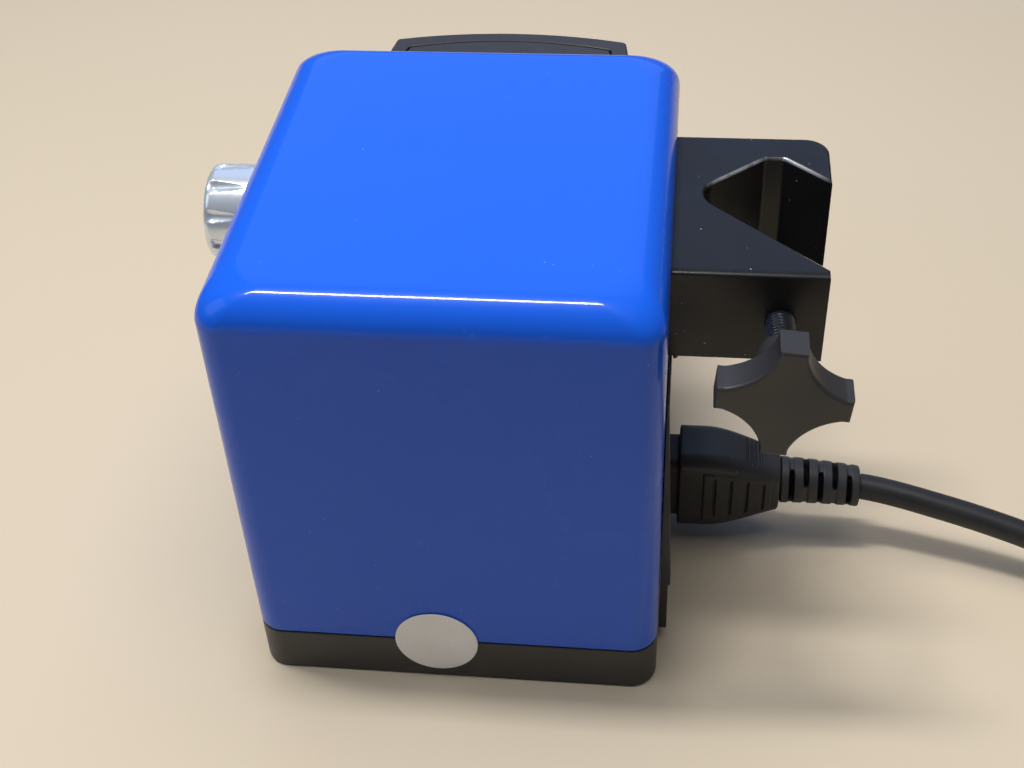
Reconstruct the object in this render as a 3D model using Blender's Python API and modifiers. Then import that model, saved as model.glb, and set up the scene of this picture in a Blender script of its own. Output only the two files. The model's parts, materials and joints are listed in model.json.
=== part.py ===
"""Bench vortex mixer with a stand clamp, modelled piece by piece in metres, Z up.

The painted cover stands on a black base tray. Its right wall carries the rear panel with the
mains inlet, and above that the stand clamp. The speed knob is on the left wall, and the drive
head with the mixing cup is on the far wall. The origin is the middle of the sole, on the bench.
"""
import math

import bmesh
import bpy
from mathutils import Matrix, Vector

MM = 0.001

# Fits
GAP = 0.3 * MM
SLIDE_FIT = 0.4 * MM
ROUND_STEPS = 24
HOLE_STEPS = 16

# Cover
COVER_WIDTH = 121.3 * MM
COVER_DEPTH = 137.2 * MM
UNIT_HEIGHT = 143.0 * MM
COVER_WALL = 2.5 * MM
COVER_CORNER = 8.0 * MM
COVER_BROW = 10.5 * MM
BROW_STEPS = 6
CORNER_STEPS = 5
CORNER_SOFTENING = 0.45

# Base tray and sole
SOLE_THICKNESS = 1.7 * MM
SOLE_INSET = 3.0 * MM
BASE_TOP = 16.7 * MM
BASE_LIFT = 0.4 * MM
BASE_FLOOR = 3.0 * MM
BASE_EDGE = 0.8 * MM
LIP_HEIGHT = 4.0 * MM
LIP_WALL = 2.0 * MM
POST_INSET = 11.0 * MM
POST_RADIUS = 5.0 * MM
POST_HEIGHT = 16.0 * MM
BASE_SCREW_RADIUS = 2.0 * MM
BASE_SCREW_HEAD = 3.5 * MM
BASE_SCREW_HEAD_HEIGHT = 2.4 * MM
BASE_SCREW_BITE = 10.0 * MM

# Blank round seal across the joint of the near wall
SEAL_RADIUS = 12.5 * MM
SEAL_THICKNESS = 0.3 * MM
SEAL_X = -5.1 * MM

# Rear panel
PANEL_WIDTH = 97.4 * MM
PANEL_LOW = 5.0 * MM
PANEL_CLAMP_SPACE = 3.0 * MM
PANEL_THICKNESS = 0.7 * MM
PANEL_RIB_WIDTH = 4.0 * MM
PANEL_RIB_PROUD = 2.3 * MM
PANEL_RIB_FOOT_PROUD = 1.6 * MM
PANEL_RIB_FOOT = 19.5 * MM
PANEL_RIB_TOP_MARGIN = 2.0 * MM
PANEL_WINDOW_MARGIN = 10.0 * MM
PANEL_SCREW_RADIUS = 1.5 * MM
PANEL_SCREW_HEAD = 2.3 * MM
PANEL_SCREW_LENGTH = 7.0 * MM
PANEL_SCREW_MARGIN = 5.5 * MM
PANEL_SCREW_DROP = 40.0 * MM

# Mains inlet
INLET_Y = 1.3 * MM
INLET_Z = 23.0 * MM
INLET_WIDTH = 22.0 * MM
INLET_HEIGHT = 29.6 * MM
INLET_LENGTH = 16.0 * MM
INLET_BACK = 2.5 * MM
INLET_CORNER = 2.0 * MM
PIN_LONG = 4.0 * MM
PIN_THIN = 2.0 * MM
PIN_PITCH = 7.0 * MM
PIN_EARTH_OFFSET = 3.0 * MM
PIN_LENGTH = 11.0 * MM
PIN_CARRIER = 1.5 * MM
PIN_CARRIER_EDGE = 1.5 * MM

# Switch and fuse on the rear panel
SWITCH_INSET = 16.5 * MM
SWITCH_DROP = 20.5 * MM
SWITCH_WIDTH = 13.0 * MM
SWITCH_HEIGHT = 19.0 * MM
SWITCH_FRAME_EDGE = 1.2 * MM
SWITCH_FRAME_PROUD = 1.5 * MM
SWITCH_BODY_LENGTH = 14.0 * MM
SWITCH_WALL = 1.5 * MM
ROCKER_ARC = 14.0 * MM
ROCKER_DEPTH = 5.0 * MM
ROCKER_TILT = 9.0
FUSE_INSET = 16.5 * MM
FUSE_DROP = 41.0 * MM
FUSE_BODY_RADIUS = 6.2 * MM
FUSE_BODY_LENGTH = 24.0 * MM
FUSE_FLANGE_RADIUS = 8.0 * MM
FUSE_FLANGE_THICKNESS = 1.6 * MM
FUSE_BORE = 4.2 * MM
FUSE_CAP_RADIUS = 6.0 * MM
FUSE_CAP_LENGTH = 4.5 * MM
FUSE_CAP_SLOT = 1.2 * MM
FUSE_RADIUS = 2.6 * MM
FUSE_LENGTH = 20.0 * MM

# Mains connector and its strain relief
PLUG_NOSE_WIDTH = 16.4 * MM
PLUG_NOSE_HEIGHT = 24.0 * MM
PLUG_NOSE_SHOW = 3.65 * MM
PLUG_WIDTH = 20.0 * MM
PLUG_HEIGHT = 30.5 * MM
PLUG_STRAIGHT = 11.0 * MM
PLUG_LENGTH = 32.5 * MM
PLUG_END_WIDTH = 15.4 * MM
PLUG_END_HEIGHT = 17.0 * MM
PLUG_CORNER = 3.0 * MM
BOOT_LENGTH = 25.2 * MM
BOOT_START_RADIUS = 7.6 * MM
BOOT_END_RADIUS = 6.6 * MM
BOOT_CORE_RADIUS = 5.4 * MM
BOOT_RINGS = 6
BOOT_SAG = 1.5 * MM

# Mains cord, its coil and its far plug
CORD_DIAMETER = 8.4 * MM
CORD_STEP = 2.4
COIL_CENTRE = (261.0 * MM, 21.0 * MM)
COIL_MID_RADIUS = 47.0 * MM
COIL_TURNS = 5.25
COIL_SELF_GAP = 0.6 * MM
COIL_STEPS = 24
COIL_TAIL = 46.0 * MM
COIL_TAIL_STEPS = 5
TIE_THICKNESS = 1.0 * MM
TIE_WIDTH = 12.0 * MM
TIE_ANGLE = 80.0
MAINS_PLUG_WIDTH = 26.0 * MM
MAINS_PLUG_HEIGHT = 24.0 * MM
MAINS_PLUG_LENGTH = 34.0 * MM
MAINS_PLUG_NECK = 6.5 * MM
MAINS_PLUG_CORNER = 4.0 * MM
BLADE_LENGTH = 16.0 * MM
BLADE_WIDTH = 6.3 * MM
BLADE_THIN = 1.6 * MM
BLADE_PITCH = 12.7 * MM
EARTH_RADIUS = 2.4 * MM
EARTH_DROP = 8.0 * MM
BLADE_CARRIER = 1.5 * MM
BLADE_CARRIER_EDGE = 2.0 * MM
ROUTE = (
    (0.1489, -0.0042, 0.0194),
    (0.1749, -0.0120, 0.0164),
    (0.1999, -0.0217, 0.0124),
    (0.2249, -0.0317, 0.0082),
)

# Stand clamp
CLAMP_Y = 1.3 * MM
CLAMP_REACH = 44.0 * MM
JAW_REACH = 41.3 * MM
CLAMP_DEPTH = 68.0 * MM
CLAMP_DROP = 12.5 * MM
CLAMP_HEIGHT = 29.5 * MM
CLAMP_CORNER = 7.0 * MM
NOTCH_APEX_REACH = 4.5 * MM
NOTCH_APEX_SHIFT = 4.2 * MM
NOTCH_APEX_RADIUS = 7.3 * MM
SEAT_REACH = 28.2 * MM
SEAT_SHIFT = 22.9 * MM
SEAT_FLAT = 5.6 * MM
SEAT_RADIUS = 2.0 * MM
NOTCH_LIP_SHIFT = 10.9 * MM
JAW_TIP = 3.0 * MM
CLAMP_SCREW_REACH = 29.3 * MM
CLAMP_SCREW_RISE = 13.9 * MM
CLAMP_SCREW_RADIUS = 4.0 * MM
CLAMP_BOLT_RADIUS = 2.5 * MM
CLAMP_BOLT_HEAD = 4.3 * MM
CLAMP_BOLT_HEAD_HEIGHT = 3.0 * MM
CLAMP_BOLT_BITE = 10.0 * MM
CLAMP_BOLT_PITCH = 48.0 * MM
PAD_RADIUS = 5.0 * MM
PAD_THICKNESS = 3.4 * MM
PAD_SOCKET = 2.0 * MM
PAD_ADVANCE = 4.56 * MM
SCREW_TIP_RADIUS = 2.5 * MM

# Star knob
STAR_STANDOFF = 12.0 * MM
STAR_HUB_LENGTH = 12.1 * MM
STAR_HUB_RADIUS = 8.3 * MM
STAR_HUB_SMALL_RADIUS = 6.0 * MM
STAR_THICKNESS = 9.9 * MM
STAR_RADIUS = 17.3 * MM
STAR_LOBE_WIDTH = 7.2 * MM
STAR_LOBE_ROOT = 15.3 * MM
STAR_WAIST = 11.2 * MM
STAR_EDGE = 0.6 * MM
STAR_ARC_STEPS = 8
STAR_TURN = 5.0
STAR_BORE_DEPTH = 15.0 * MM

# Speed control
KNOB_Y = 14.3 * MM
KNOB_DROP = 30.0 * MM
KNOB_RADIUS = 14.6 * MM
KNOB_LENGTH = 16.3 * MM
KNOB_STANDOFF = 1.5 * MM
KNOB_EDGE = 2.4 * MM
KNOB_FLUTES = 10
KNOB_FLUTE_DEPTH = 1.5 * MM
KNOB_FLUTE_LENGTH = 13.0 * MM
KNOB_FLUTE_HALF_ANGLE = 9.0
KNOB_FLUTE_PHASE = 7.5
KNOB_FLUTE_STEPS = 8
KNOB_RECESS_RADIUS = 9.0 * MM
KNOB_RECESS_DEPTH = 4.5 * MM
KNOB_BORE_DEPTH = 11.0 * MM
GRUB_RADIUS = 1.5 * MM
GRUB_LENGTH = 6.0 * MM
SHAFT_RADIUS = 3.0 * MM
SHAFT_ROOT = 3.0 * MM
BUSH_RADIUS = 4.5 * MM
BUSH_PROUD = 4.0 * MM
POT_RADIUS = 8.5 * MM
POT_LENGTH = 10.0 * MM
NUT_ACROSS = 12.0 * MM
NUT_THICKNESS = 2.4 * MM

# Drive head on the far wall
HEAD_X = -1.1 * MM
HEAD_REACH = 71.7 * MM
HEAD_ROOT_WIDTH = 102.0 * MM
HEAD_END_WIDTH = 83.4 * MM
HEAD_BOW = 5.4 * MM
HEAD_BOW_STEPS = 10
HEAD_CORNER = 1.5 * MM
HEAD_LOW = 30.0 * MM
HEAD_TOP = 108.0 * MM
HEAD_WALL = 3.0 * MM
HEAD_BACK = 5.0 * MM
HEAD_BORDER = 6.0 * MM
HEAD_LEDGE = 3.0 * MM
HEAD_RIM = 9.0 * MM
GROOVE_WIDTH = 0.6 * MM
TOP_PANEL_THICKNESS = 3.0 * MM
HEAD_BOLT_RADIUS = 2.0 * MM
HEAD_BOLT_HEAD = 3.5 * MM
HEAD_BOLT_HEAD_HEIGHT = 2.6 * MM
HEAD_BOLT_BITE = 3.6 * MM
HEAD_BOLT_SPAN = 68.0 * MM
HEAD_BOLT_LOW = 42.0 * MM
HEAD_BOLT_HIGH = 92.0 * MM
GROMMET_Z = 56.0 * MM
GROMMET_RADIUS = 6.0 * MM
GROMMET_BORE = 3.0 * MM
GROMMET_FLANGE = 8.0 * MM
GROMMET_FLANGE_THICKNESS = 1.5 * MM

# Motor, eccentric and cup
DRIVE_SETBACK = 26.4 * MM
ORBIT = 2.0 * MM
MOTOR_RADIUS = 18.0 * MM
MOTOR_LENGTH = 38.0 * MM
MOTOR_EDGE = 1.5 * MM
MOTOR_SHAFT_RADIUS = 2.5 * MM
MOTOR_SCREW_PITCH = 25.0 * MM
MOTOR_SCREW_RADIUS = 1.5 * MM
MOTOR_SCREW_HEAD = 2.7 * MM
MOTOR_SCREW_HEAD_HEIGHT = 1.8 * MM
MOTOR_SCREW_BITE = 3.0 * MM
MOTOR_PLATE_LEVEL = 76.0 * MM
MOTOR_PLATE_THICKNESS = 3.0 * MM
MOTOR_BRACKET_WIDTH = 56.0 * MM
MOTOR_BRACKET_NEAR = 19.0 * MM
MOTOR_BRACKET_FAR = 27.0 * MM
CRANK_LIFT = 3.0 * MM
CRANK_HEIGHT = 6.0 * MM
CRANK_HUB_RADIUS = 8.0 * MM
CRANK_WEIGHT_RADIUS = 16.0 * MM
CRANK_WEIGHT_ANGLE = 75.0
CRANK_PIN_RADIUS = 3.0 * MM
CRANK_PIN_LENGTH = 8.0 * MM
BEARING_RADIUS = 6.5 * MM
BEARING_WIDTH = 5.0 * MM
BEARING_LIFT = 1.6 * MM
HOLDER_RADIUS = 9.0 * MM
HOLDER_TOP_WALL = 2.5 * MM
HOLDER_SPIGOT_RADIUS = 3.5 * MM
HOLDER_SPIGOT_HEIGHT = 3.0 * MM
GUIDE_ARM_WIDTH = 4.0 * MM
GUIDE_ARM_HEIGHT = 4.0 * MM
GUIDE_ARM_REACH = 27.0 * MM
GUIDE_PLAY = 0.8 * MM
FORK_WALL = 2.5 * MM
FORK_DEPTH = 7.0 * MM
CUP_STEM_RADIUS = 10.0 * MM
CUP_FLANGE_RADIUS = 17.0 * MM
CUP_FLANGE_LIFT = 1.0 * MM
CUP_FLANGE_THICKNESS = 3.4 * MM
CUP_MOUTH_RADIUS = 14.0 * MM
CUP_FLOOR_RADIUS = 5.0 * MM
CUP_FLOOR = 2.5 * MM
CUP_CLEARANCE = 1.5 * MM

# Electrics inside the cover
BALLAST_THICKNESS = 8.0 * MM
BALLAST_POST_MARGIN = 1.0 * MM
BALLAST_WALL_MARGIN = 5.0 * MM
BALLAST_INLET_MARGIN = 12.0 * MM
CORE_WIDTH = 57.0 * MM
CORE_HEIGHT = 47.5 * MM
CORE_STACK = 22.0 * MM
CORE_LEG = 19.0 * MM
CORE_WINDOW_HEIGHT = 28.5 * MM
CORE_Y = -34.0 * MM
WINDING_THICKNESS = 8.4 * MM
BOARD_WIDTH = 76.0 * MM
BOARD_DEPTH = 52.0 * MM
BOARD_THICKNESS = 1.6 * MM
BOARD_Y = 26.0 * MM
BOARD_LIFT = 8.0 * MM
BOARD_CARRIER_WALL = 2.0 * MM
CAPACITOR_RADIUS = 8.0 * MM
CAPACITOR_HEIGHT = 26.0 * MM
CAPACITOR_X = -22.0 * MM
SINK_WIDTH = 30.0 * MM
SINK_HEIGHT = 28.0 * MM
SINK_BASE = 3.0 * MM
SINK_FIN = 1.5 * MM
SINK_FIN_REACH = 10.0 * MM
SINK_FINS = 6
SINK_X = 6.0 * MM

# Places worked out from the sizes above
WALL_X = COVER_WIDTH / 2
WALL_Y = COVER_DEPTH / 2
COVER_BOTTOM = BASE_TOP + GAP
UNDERSIDE = SOLE_THICKNESS + GAP
BASE_FLOOR_TOP = UNDERSIDE + BASE_FLOOR
LIP_INSET = COVER_WALL + GAP
LIP_TOP = BASE_TOP + LIP_HEIGHT
BASE_WALL = LIP_INSET + LIP_WALL
CLAMP_LOW = UNIT_HEIGHT - CLAMP_DROP - CLAMP_HEIGHT
PANEL_FACE = WALL_X + GAP
PANEL_SKIN = PANEL_FACE + PANEL_THICKNESS
PANEL_HIGH = CLAMP_LOW - PANEL_CLAMP_SPACE
SWITCH_Y = PANEL_WIDTH / 2 - SWITCH_INSET
SWITCH_Z = PANEL_HIGH - SWITCH_DROP
FUSE_Y = PANEL_WIDTH / 2 - FUSE_INSET
FUSE_Z = PANEL_HIGH - FUSE_DROP
INLET_FRONT = PANEL_FACE - GAP
PLUG_SHOULDER = PANEL_SKIN + PLUG_NOSE_SHOW
PLUG_BACK = PLUG_SHOULDER + PLUG_LENGTH
BOOT_START = PLUG_BACK + GAP
BOOT_END = BOOT_START + BOOT_LENGTH
CORD_START = Vector((BOOT_END + GAP, INLET_Y, INLET_Z - BOOT_SAG))
CORD_RADIUS = CORD_DIAMETER / 2
COIL_PITCH = CORD_DIAMETER + COIL_SELF_GAP
COIL_SPAN = COIL_PITCH * COIL_TURNS / 2
COIL_OUTER = COIL_MID_RADIUS + COIL_SPAN / 2
COIL_INNER = COIL_MID_RADIUS - COIL_SPAN / 2
COIL_LOW = TIE_THICKNESS + 2 * GAP + CORD_RADIUS
COIL_HIGH = COIL_LOW + COIL_PITCH
MAINS_PLUG_REST = MAINS_PLUG_HEIGHT / 2 + GAP
CLAMP_FACE = WALL_X + GAP
CLAMP_SCREW_X = CLAMP_FACE + CLAMP_SCREW_REACH
CLAMP_SCREW_Z = CLAMP_LOW + CLAMP_SCREW_RISE
JAW_FACE = CLAMP_Y - CLAMP_DEPTH / 2
CLAMP_FAR = CLAMP_Y + CLAMP_DEPTH / 2
NOTCH_APEX_Y = CLAMP_Y + NOTCH_APEX_SHIFT
SEAT_Y = CLAMP_Y + SEAT_SHIFT
NOTCH_LIP_Y = CLAMP_Y + NOTCH_LIP_SHIFT
STAR_BACK = JAW_FACE - STAR_STANDOFF
KNOB_Z = UNIT_HEIGHT - KNOB_DROP
KNOB_BACK = -WALL_X - KNOB_STANDOFF
KNOB_FRONT = KNOB_BACK - KNOB_LENGTH
HEAD_FACE = WALL_Y + GAP
HEAD_END = WALL_Y + HEAD_REACH
DRIVE_Y = WALL_Y + DRIVE_SETBACK
HEAD_FLOOR = HEAD_LOW + HEAD_WALL
CRANK_LEVEL = MOTOR_PLATE_LEVEL + MOTOR_PLATE_THICKNESS + CRANK_LIFT
PIN_LEVEL = CRANK_LEVEL + CRANK_HEIGHT
BEARING_LEVEL = PIN_LEVEL + BEARING_LIFT
HOLDER_LEVEL = PIN_LEVEL + GAP
HOLDER_TOP = PIN_LEVEL + CRANK_PIN_LENGTH + GAP + HOLDER_TOP_WALL
CUP_LEVEL = HOLDER_TOP + GAP
CUP_FLANGE_LEVEL = HEAD_TOP + CUP_FLANGE_LIFT
CUP_RIM = CUP_FLANGE_LEVEL + CUP_FLANGE_THICKNESS
CUP_HOLE_RADIUS = CUP_STEM_RADIUS + ORBIT + CUP_CLEARANCE
FORK_SLOT = GUIDE_ARM_WIDTH + 2 * (ORBIT + GUIDE_PLAY)
BALLAST_LEVEL = BASE_FLOOR_TOP + GAP
BALLAST_LEFT = BASE_WALL + BALLAST_WALL_MARGIN - WALL_X
BALLAST_RIGHT = INLET_FRONT - INLET_LENGTH - BALLAST_INLET_MARGIN
BALLAST_WIDTH = BALLAST_RIGHT - BALLAST_LEFT
BALLAST_DEPTH = COVER_DEPTH - 2 * (POST_INSET + POST_RADIUS + BALLAST_POST_MARGIN)
BALLAST_X = (BALLAST_LEFT + BALLAST_RIGHT) / 2
BALLAST_TOP = BALLAST_LEVEL + BALLAST_THICKNESS
BOARD_LEVEL = BALLAST_TOP + BOARD_LIFT
BOARD_TOP = BOARD_LEVEL + BOARD_THICKNESS

FINISHES = {
    "blue_paint": ((0.02, 0.12, 0.75), 0.22, 0.0),
    "black_moulding": ((0.020, 0.020, 0.022), 0.50, 0.0),
    "black_metal": ((0.012, 0.012, 0.013), 0.35, 0.0),
    "black_rubber": ((0.018, 0.018, 0.019), 0.75, 0.0),
    "white_paper": ((0.75, 0.75, 0.73), 0.70, 0.0),
    "satin_aluminium": ((0.80, 0.81, 0.83), 0.25, 1.0),
    "steel": ((0.55, 0.56, 0.58), 0.35, 1.0),
    "brass": ((0.70, 0.52, 0.22), 0.35, 1.0),
    "copper": ((0.60, 0.28, 0.12), 0.45, 0.0),
    "board": ((0.05, 0.22, 0.09), 0.50, 0.0),
    "glass": ((0.80, 0.85, 0.85), 0.10, 0.0),
}


def clear_scene():
    """Remove every object that the file already holds."""
    for thing in list(bpy.data.objects):
        bpy.data.objects.remove(thing, do_unlink=True)


def new_collection(name):
    """A collection of this name linked to the scene."""
    collection = bpy.data.collections.new(name)
    bpy.context.scene.collection.children.link(collection)
    return collection


clear_scene()
PARTS = new_collection("vortex_mixer")
CUTTERS = new_collection("cutters")


def finish(name):
    """The material of this finish, made once."""
    if name in bpy.data.materials:
        return bpy.data.materials[name]
    colour, roughness, metallic = FINISHES[name]
    material = bpy.data.materials.new(name)
    material.use_nodes = True
    shader = material.node_tree.nodes["Principled BSDF"]
    shader.inputs["Base Color"].default_value = (*colour, 1.0)
    shader.inputs["Roughness"].default_value = roughness
    shader.inputs["Metallic"].default_value = metallic
    return material


def add(name, data, finish_name=None):
    """An object holding this data: a part if it has a finish, otherwise a cutter."""
    thing = bpy.data.objects.new(name, data)
    if finish_name is None:
        CUTTERS.objects.link(thing)
        thing.hide_render = True
        thing.display_type = "WIRE"
    else:
        PARTS.objects.link(thing)
        if not data.materials:
            data.materials.append(finish(finish_name))
    return thing


def copies(name, mesh, places, finish_name):
    """Like pieces that share one mesh, numbered from 1."""
    for number, place in enumerate(places, 1):
        add(f"{name}_{number}", mesh, finish_name).location = place


def joint_axis(name, location):
    """An empty on a joint's axis, which carries the pieces that move there."""
    empty = bpy.data.objects.new(name, None)
    PARTS.objects.link(empty)
    empty.location = location
    return empty


def carry(axis, *pieces):
    """Hang pieces, modelled about the axis point, on a joint's empty."""
    for piece in pieces:
        piece.parent = axis


def to_mesh(bm, name):
    """Close a bmesh into mesh data with its faces pointing out."""
    bmesh.ops.recalc_face_normals(bm, faces=bm.faces)
    mesh = bpy.data.meshes.new(name)
    bm.to_mesh(mesh)
    bm.free()
    return mesh


def smooth(thing, angle=35.0):
    """Shade a piece smooth, with edges over the angle kept sharp."""
    thing.data.shade_smooth()
    thing.data.set_sharp_from_angle(angle=math.radians(angle))
    return thing


def rounded_outline(corners, steps=CORNER_STEPS):
    """Outline through corners given as (u, v, radius), each turned by an arc of its radius."""
    outline = []
    count = len(corners)
    for index, (u, v, radius) in enumerate(corners):
        here = Vector((u, v))
        if radius <= 0:
            outline.append(here)
            continue
        before = (Vector(corners[index - 1][:2]) - here).normalized()
        after = (Vector(corners[(index + 1) % count][:2]) - here).normalized()
        half = before.angle(after) / 2
        centre = here + (before + after).normalized() * (radius / math.sin(half))
        start = here + before * (radius / math.tan(half)) - centre
        sweep = start.angle_signed(here + after * (radius / math.tan(half)) - centre)
        for step in range(steps + 1):
            outline.append(centre + Matrix.Rotation(-sweep * step / steps, 2) @ start)
    return outline


def rectangle(width, height, radius=0.0, centre=(0.0, 0.0), steps=CORNER_STEPS):
    """A rounded rectangle's outline, going round from its low corner."""
    u, v = centre
    corners = []
    for side_u, side_v in ((-1, -1), (1, -1), (1, 1), (-1, 1)):
        corners.append((u + side_u * width / 2, v + side_v * height / 2, radius))
    return rounded_outline(corners, steps)


def circle(radius, steps=ROUND_STEPS, centre=(0.0, 0.0)):
    """A circle's outline."""
    outline = []
    for step in range(steps):
        turn = 2 * math.pi * step / steps
        outline.append(Vector((centre[0] + radius * math.cos(turn), centre[1] + radius * math.sin(turn))))
    return outline


def across_x(outline, x):
    """An outline in Y and Z set at this X."""
    return [Vector((x, u, v)) for u, v in outline]


def across_y(outline, y):
    """An outline in X and Z set at this Y."""
    return [Vector((u, y, v)) for u, v in outline]


def across_z(outline, z):
    """An outline in X and Y set at this Z."""
    return [Vector((u, v, z)) for u, v in outline]


def loft_into(bm, sections, cap_start=True, cap_end=True):
    """Skin a row of sections that have the same number of points."""
    rings = [[bm.verts.new(point) for point in section] for section in sections]
    count = len(rings[0])
    for low, high in zip(rings, rings[1:]):
        for index in range(count):
            following = (index + 1) % count
            bm.faces.new((low[index], low[following], high[following], high[index]))
    if cap_start:
        bm.faces.new(list(reversed(rings[0])))
    if cap_end:
        bm.faces.new(rings[-1])


def loft(name, sections, finish_name=None, cap_start=True, cap_end=True):
    """One skinned piece."""
    bm = bmesh.new()
    loft_into(bm, sections, cap_start, cap_end)
    return add(name, to_mesh(bm, name), finish_name)


def group(name, solids, finish_name=None):
    """Several separate skinned solids in one piece, each given as its row of sections."""
    bm = bmesh.new()
    for sections in solids:
        loft_into(bm, sections)
    return add(name, to_mesh(bm, name), finish_name)


def plate(name, outline, low, high, finish_name=None):
    """A flat outline in X and Y, filled and raised from low to high."""
    curve = bpy.data.curves.new(name, "CURVE")
    curve.dimensions = "2D"
    curve.fill_mode = "BOTH"
    curve.extrude = (high - low) / 2
    spline = curve.splines.new("POLY")
    spline.points.add(len(outline) - 1)
    for point, (u, v) in zip(spline.points, outline):
        point.co = (u, v, 0.0, 1.0)
    spline.use_cyclic_u = True
    guide = bpy.data.objects.new(name, curve)
    CUTTERS.objects.link(guide)
    graph = bpy.context.evaluated_depsgraph_get()
    raw = bpy.data.meshes.new_from_object(guide.evaluated_get(graph))
    bpy.data.objects.remove(guide)
    bm = bmesh.new()
    bm.from_mesh(raw)
    bpy.data.meshes.remove(raw)
    bmesh.ops.remove_doubles(bm, verts=bm.verts, dist=0.001 * MM)
    bmesh.ops.translate(bm, verts=bm.verts, vec=(0.0, 0.0, (low + high) / 2))
    return add(name, to_mesh(bm, name), finish_name)


def turned(name, profile, finish_name=None, steps=ROUND_STEPS):
    """A profile of (radius, height) pairs, outer side running down, turned about Z."""
    mesh = bpy.data.meshes.new(name)
    edges = [(index, index + 1) for index in range(len(profile) - 1)]
    mesh.from_pydata([(radius, 0.0, height) for radius, height in profile], edges, [])
    thing = add(name, mesh, finish_name)
    screw = thing.modifiers.new("turn", "SCREW")
    screw.axis = "Z"
    screw.angle = 2 * math.pi
    screw.steps = steps
    screw.render_steps = steps
    screw.use_merge_vertices = True
    screw.merge_threshold = 0.00001
    screw.use_smooth_shade = True
    return thing


def closed(profile):
    """A ring's profile with its first point repeated at the end."""
    return list(profile) + [profile[0]]


def boxes(name, corners, finish_name=None):
    """Boxes, each given by its low and high corner, as one piece."""
    bm = bmesh.new()
    for low, high in corners:
        middle = (Vector(low) + Vector(high)) / 2
        size = Vector(high) - Vector(low)
        place = Matrix.Translation(middle) @ Matrix.Diagonal((*size, 1.0))
        bmesh.ops.create_cube(bm, size=1.0, matrix=place)
    return add(name, to_mesh(bm, name), finish_name)


AXIS_TURNS = {
    "X": Matrix.Rotation(math.pi / 2, 4, "Y"),
    "Y": Matrix.Rotation(-math.pi / 2, 4, "X"),
    "Z": Matrix.Identity(4),
}


def rods(name, ends, radius, axis, finish_name=None, steps=HOLE_STEPS):
    """Plain rods along one axis, each given by the middle of its start and its length."""
    bm = bmesh.new()
    for start, length in ends:
        place = Matrix.Translation(Vector(start)) @ AXIS_TURNS[axis] @ Matrix.Translation((0, 0, length / 2))
        bmesh.ops.create_cone(
            bm, cap_ends=True, segments=steps, radius1=radius, radius2=radius, depth=length, matrix=place
        )
    return add(name, to_mesh(bm, name), finish_name)


def screws(name, starts, rings, axis, finish_name, sides=16):
    """Headed screws: rings of (radius, distance) along the axis, repeated at each start."""
    bm = bmesh.new()
    place = AXIS_TURNS[axis]
    loft_into(bm, [[place @ Vector((u, v, along)) for u, v in circle(radius, sides)] for radius, along in rings])
    mesh = to_mesh(bm, name)
    mesh.shade_smooth()
    mesh.set_sharp_from_angle(angle=math.radians(35.0))
    copies(name, mesh, starts, finish_name)


def headed(head_radius, head_height, shank_radius, length):
    """Rings of a screw with a plain round head at its start."""
    return [(head_radius, 0.0), (head_radius, head_height), (shank_radius, head_height), (shank_radius, length)]


def boolean(thing, other, operation):
    """A Boolean modifier with the exact solver."""
    modifier = thing.modifiers.new(operation.lower(), "BOOLEAN")
    modifier.operation = operation
    modifier.solver = "EXACT"
    modifier.object = other


def cut(thing, *tools):
    """Take each tool's shape out of a piece."""
    for tool in tools:
        boolean(thing, tool, "DIFFERENCE")
    return thing


def fuse(thing, *extras):
    """Join extra shapes to a piece as one body."""
    for extra in extras:
        boolean(thing, extra, "UNION")
    return thing


def soften(thing, width, segments=2, angle=40.0):
    """Round the edges sharper than the angle."""
    bevel = thing.modifiers.new("soften", "BEVEL")
    bevel.width = width
    bevel.segments = segments
    bevel.limit_method = "ANGLE"
    bevel.angle_limit = math.radians(angle)
    return thing


def four_corners(half_u, half_v, centre=(0.0, 0.0)):
    """Four places round a centre."""
    return [(centre[0] + su * half_u, centre[1] + sv * half_v) for su in (-1, 1) for sv in (-1, 1)]


POST_PLACES = four_corners(WALL_X - POST_INSET, WALL_Y - POST_INSET)
PANEL_SCREW_REACH = PANEL_WIDTH / 2 - PANEL_SCREW_MARGIN
PANEL_SCREW_PLACES = [(side * PANEL_SCREW_REACH, PANEL_HIGH - PANEL_SCREW_DROP) for side in (-1, 1)]
CLAMP_BOLT_PLACES = [(CLAMP_Y + side * CLAMP_BOLT_PITCH / 2, CLAMP_SCREW_Z) for side in (-1, 1)]
HEAD_BOLT_PLACES = [(side * HEAD_BOLT_SPAN / 2, z) for side in (-1, 1) for z in (HEAD_BOLT_LOW, HEAD_BOLT_HIGH)]


def cover_ring(inset, height):
    """The cover's outline drawn in by an inset, with its corners a little rounder as it goes."""
    radius = COVER_CORNER + CORNER_SOFTENING * inset
    return across_z(rectangle(COVER_WIDTH - 2 * inset, COVER_DEPTH - 2 * inset, radius), height)


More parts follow.
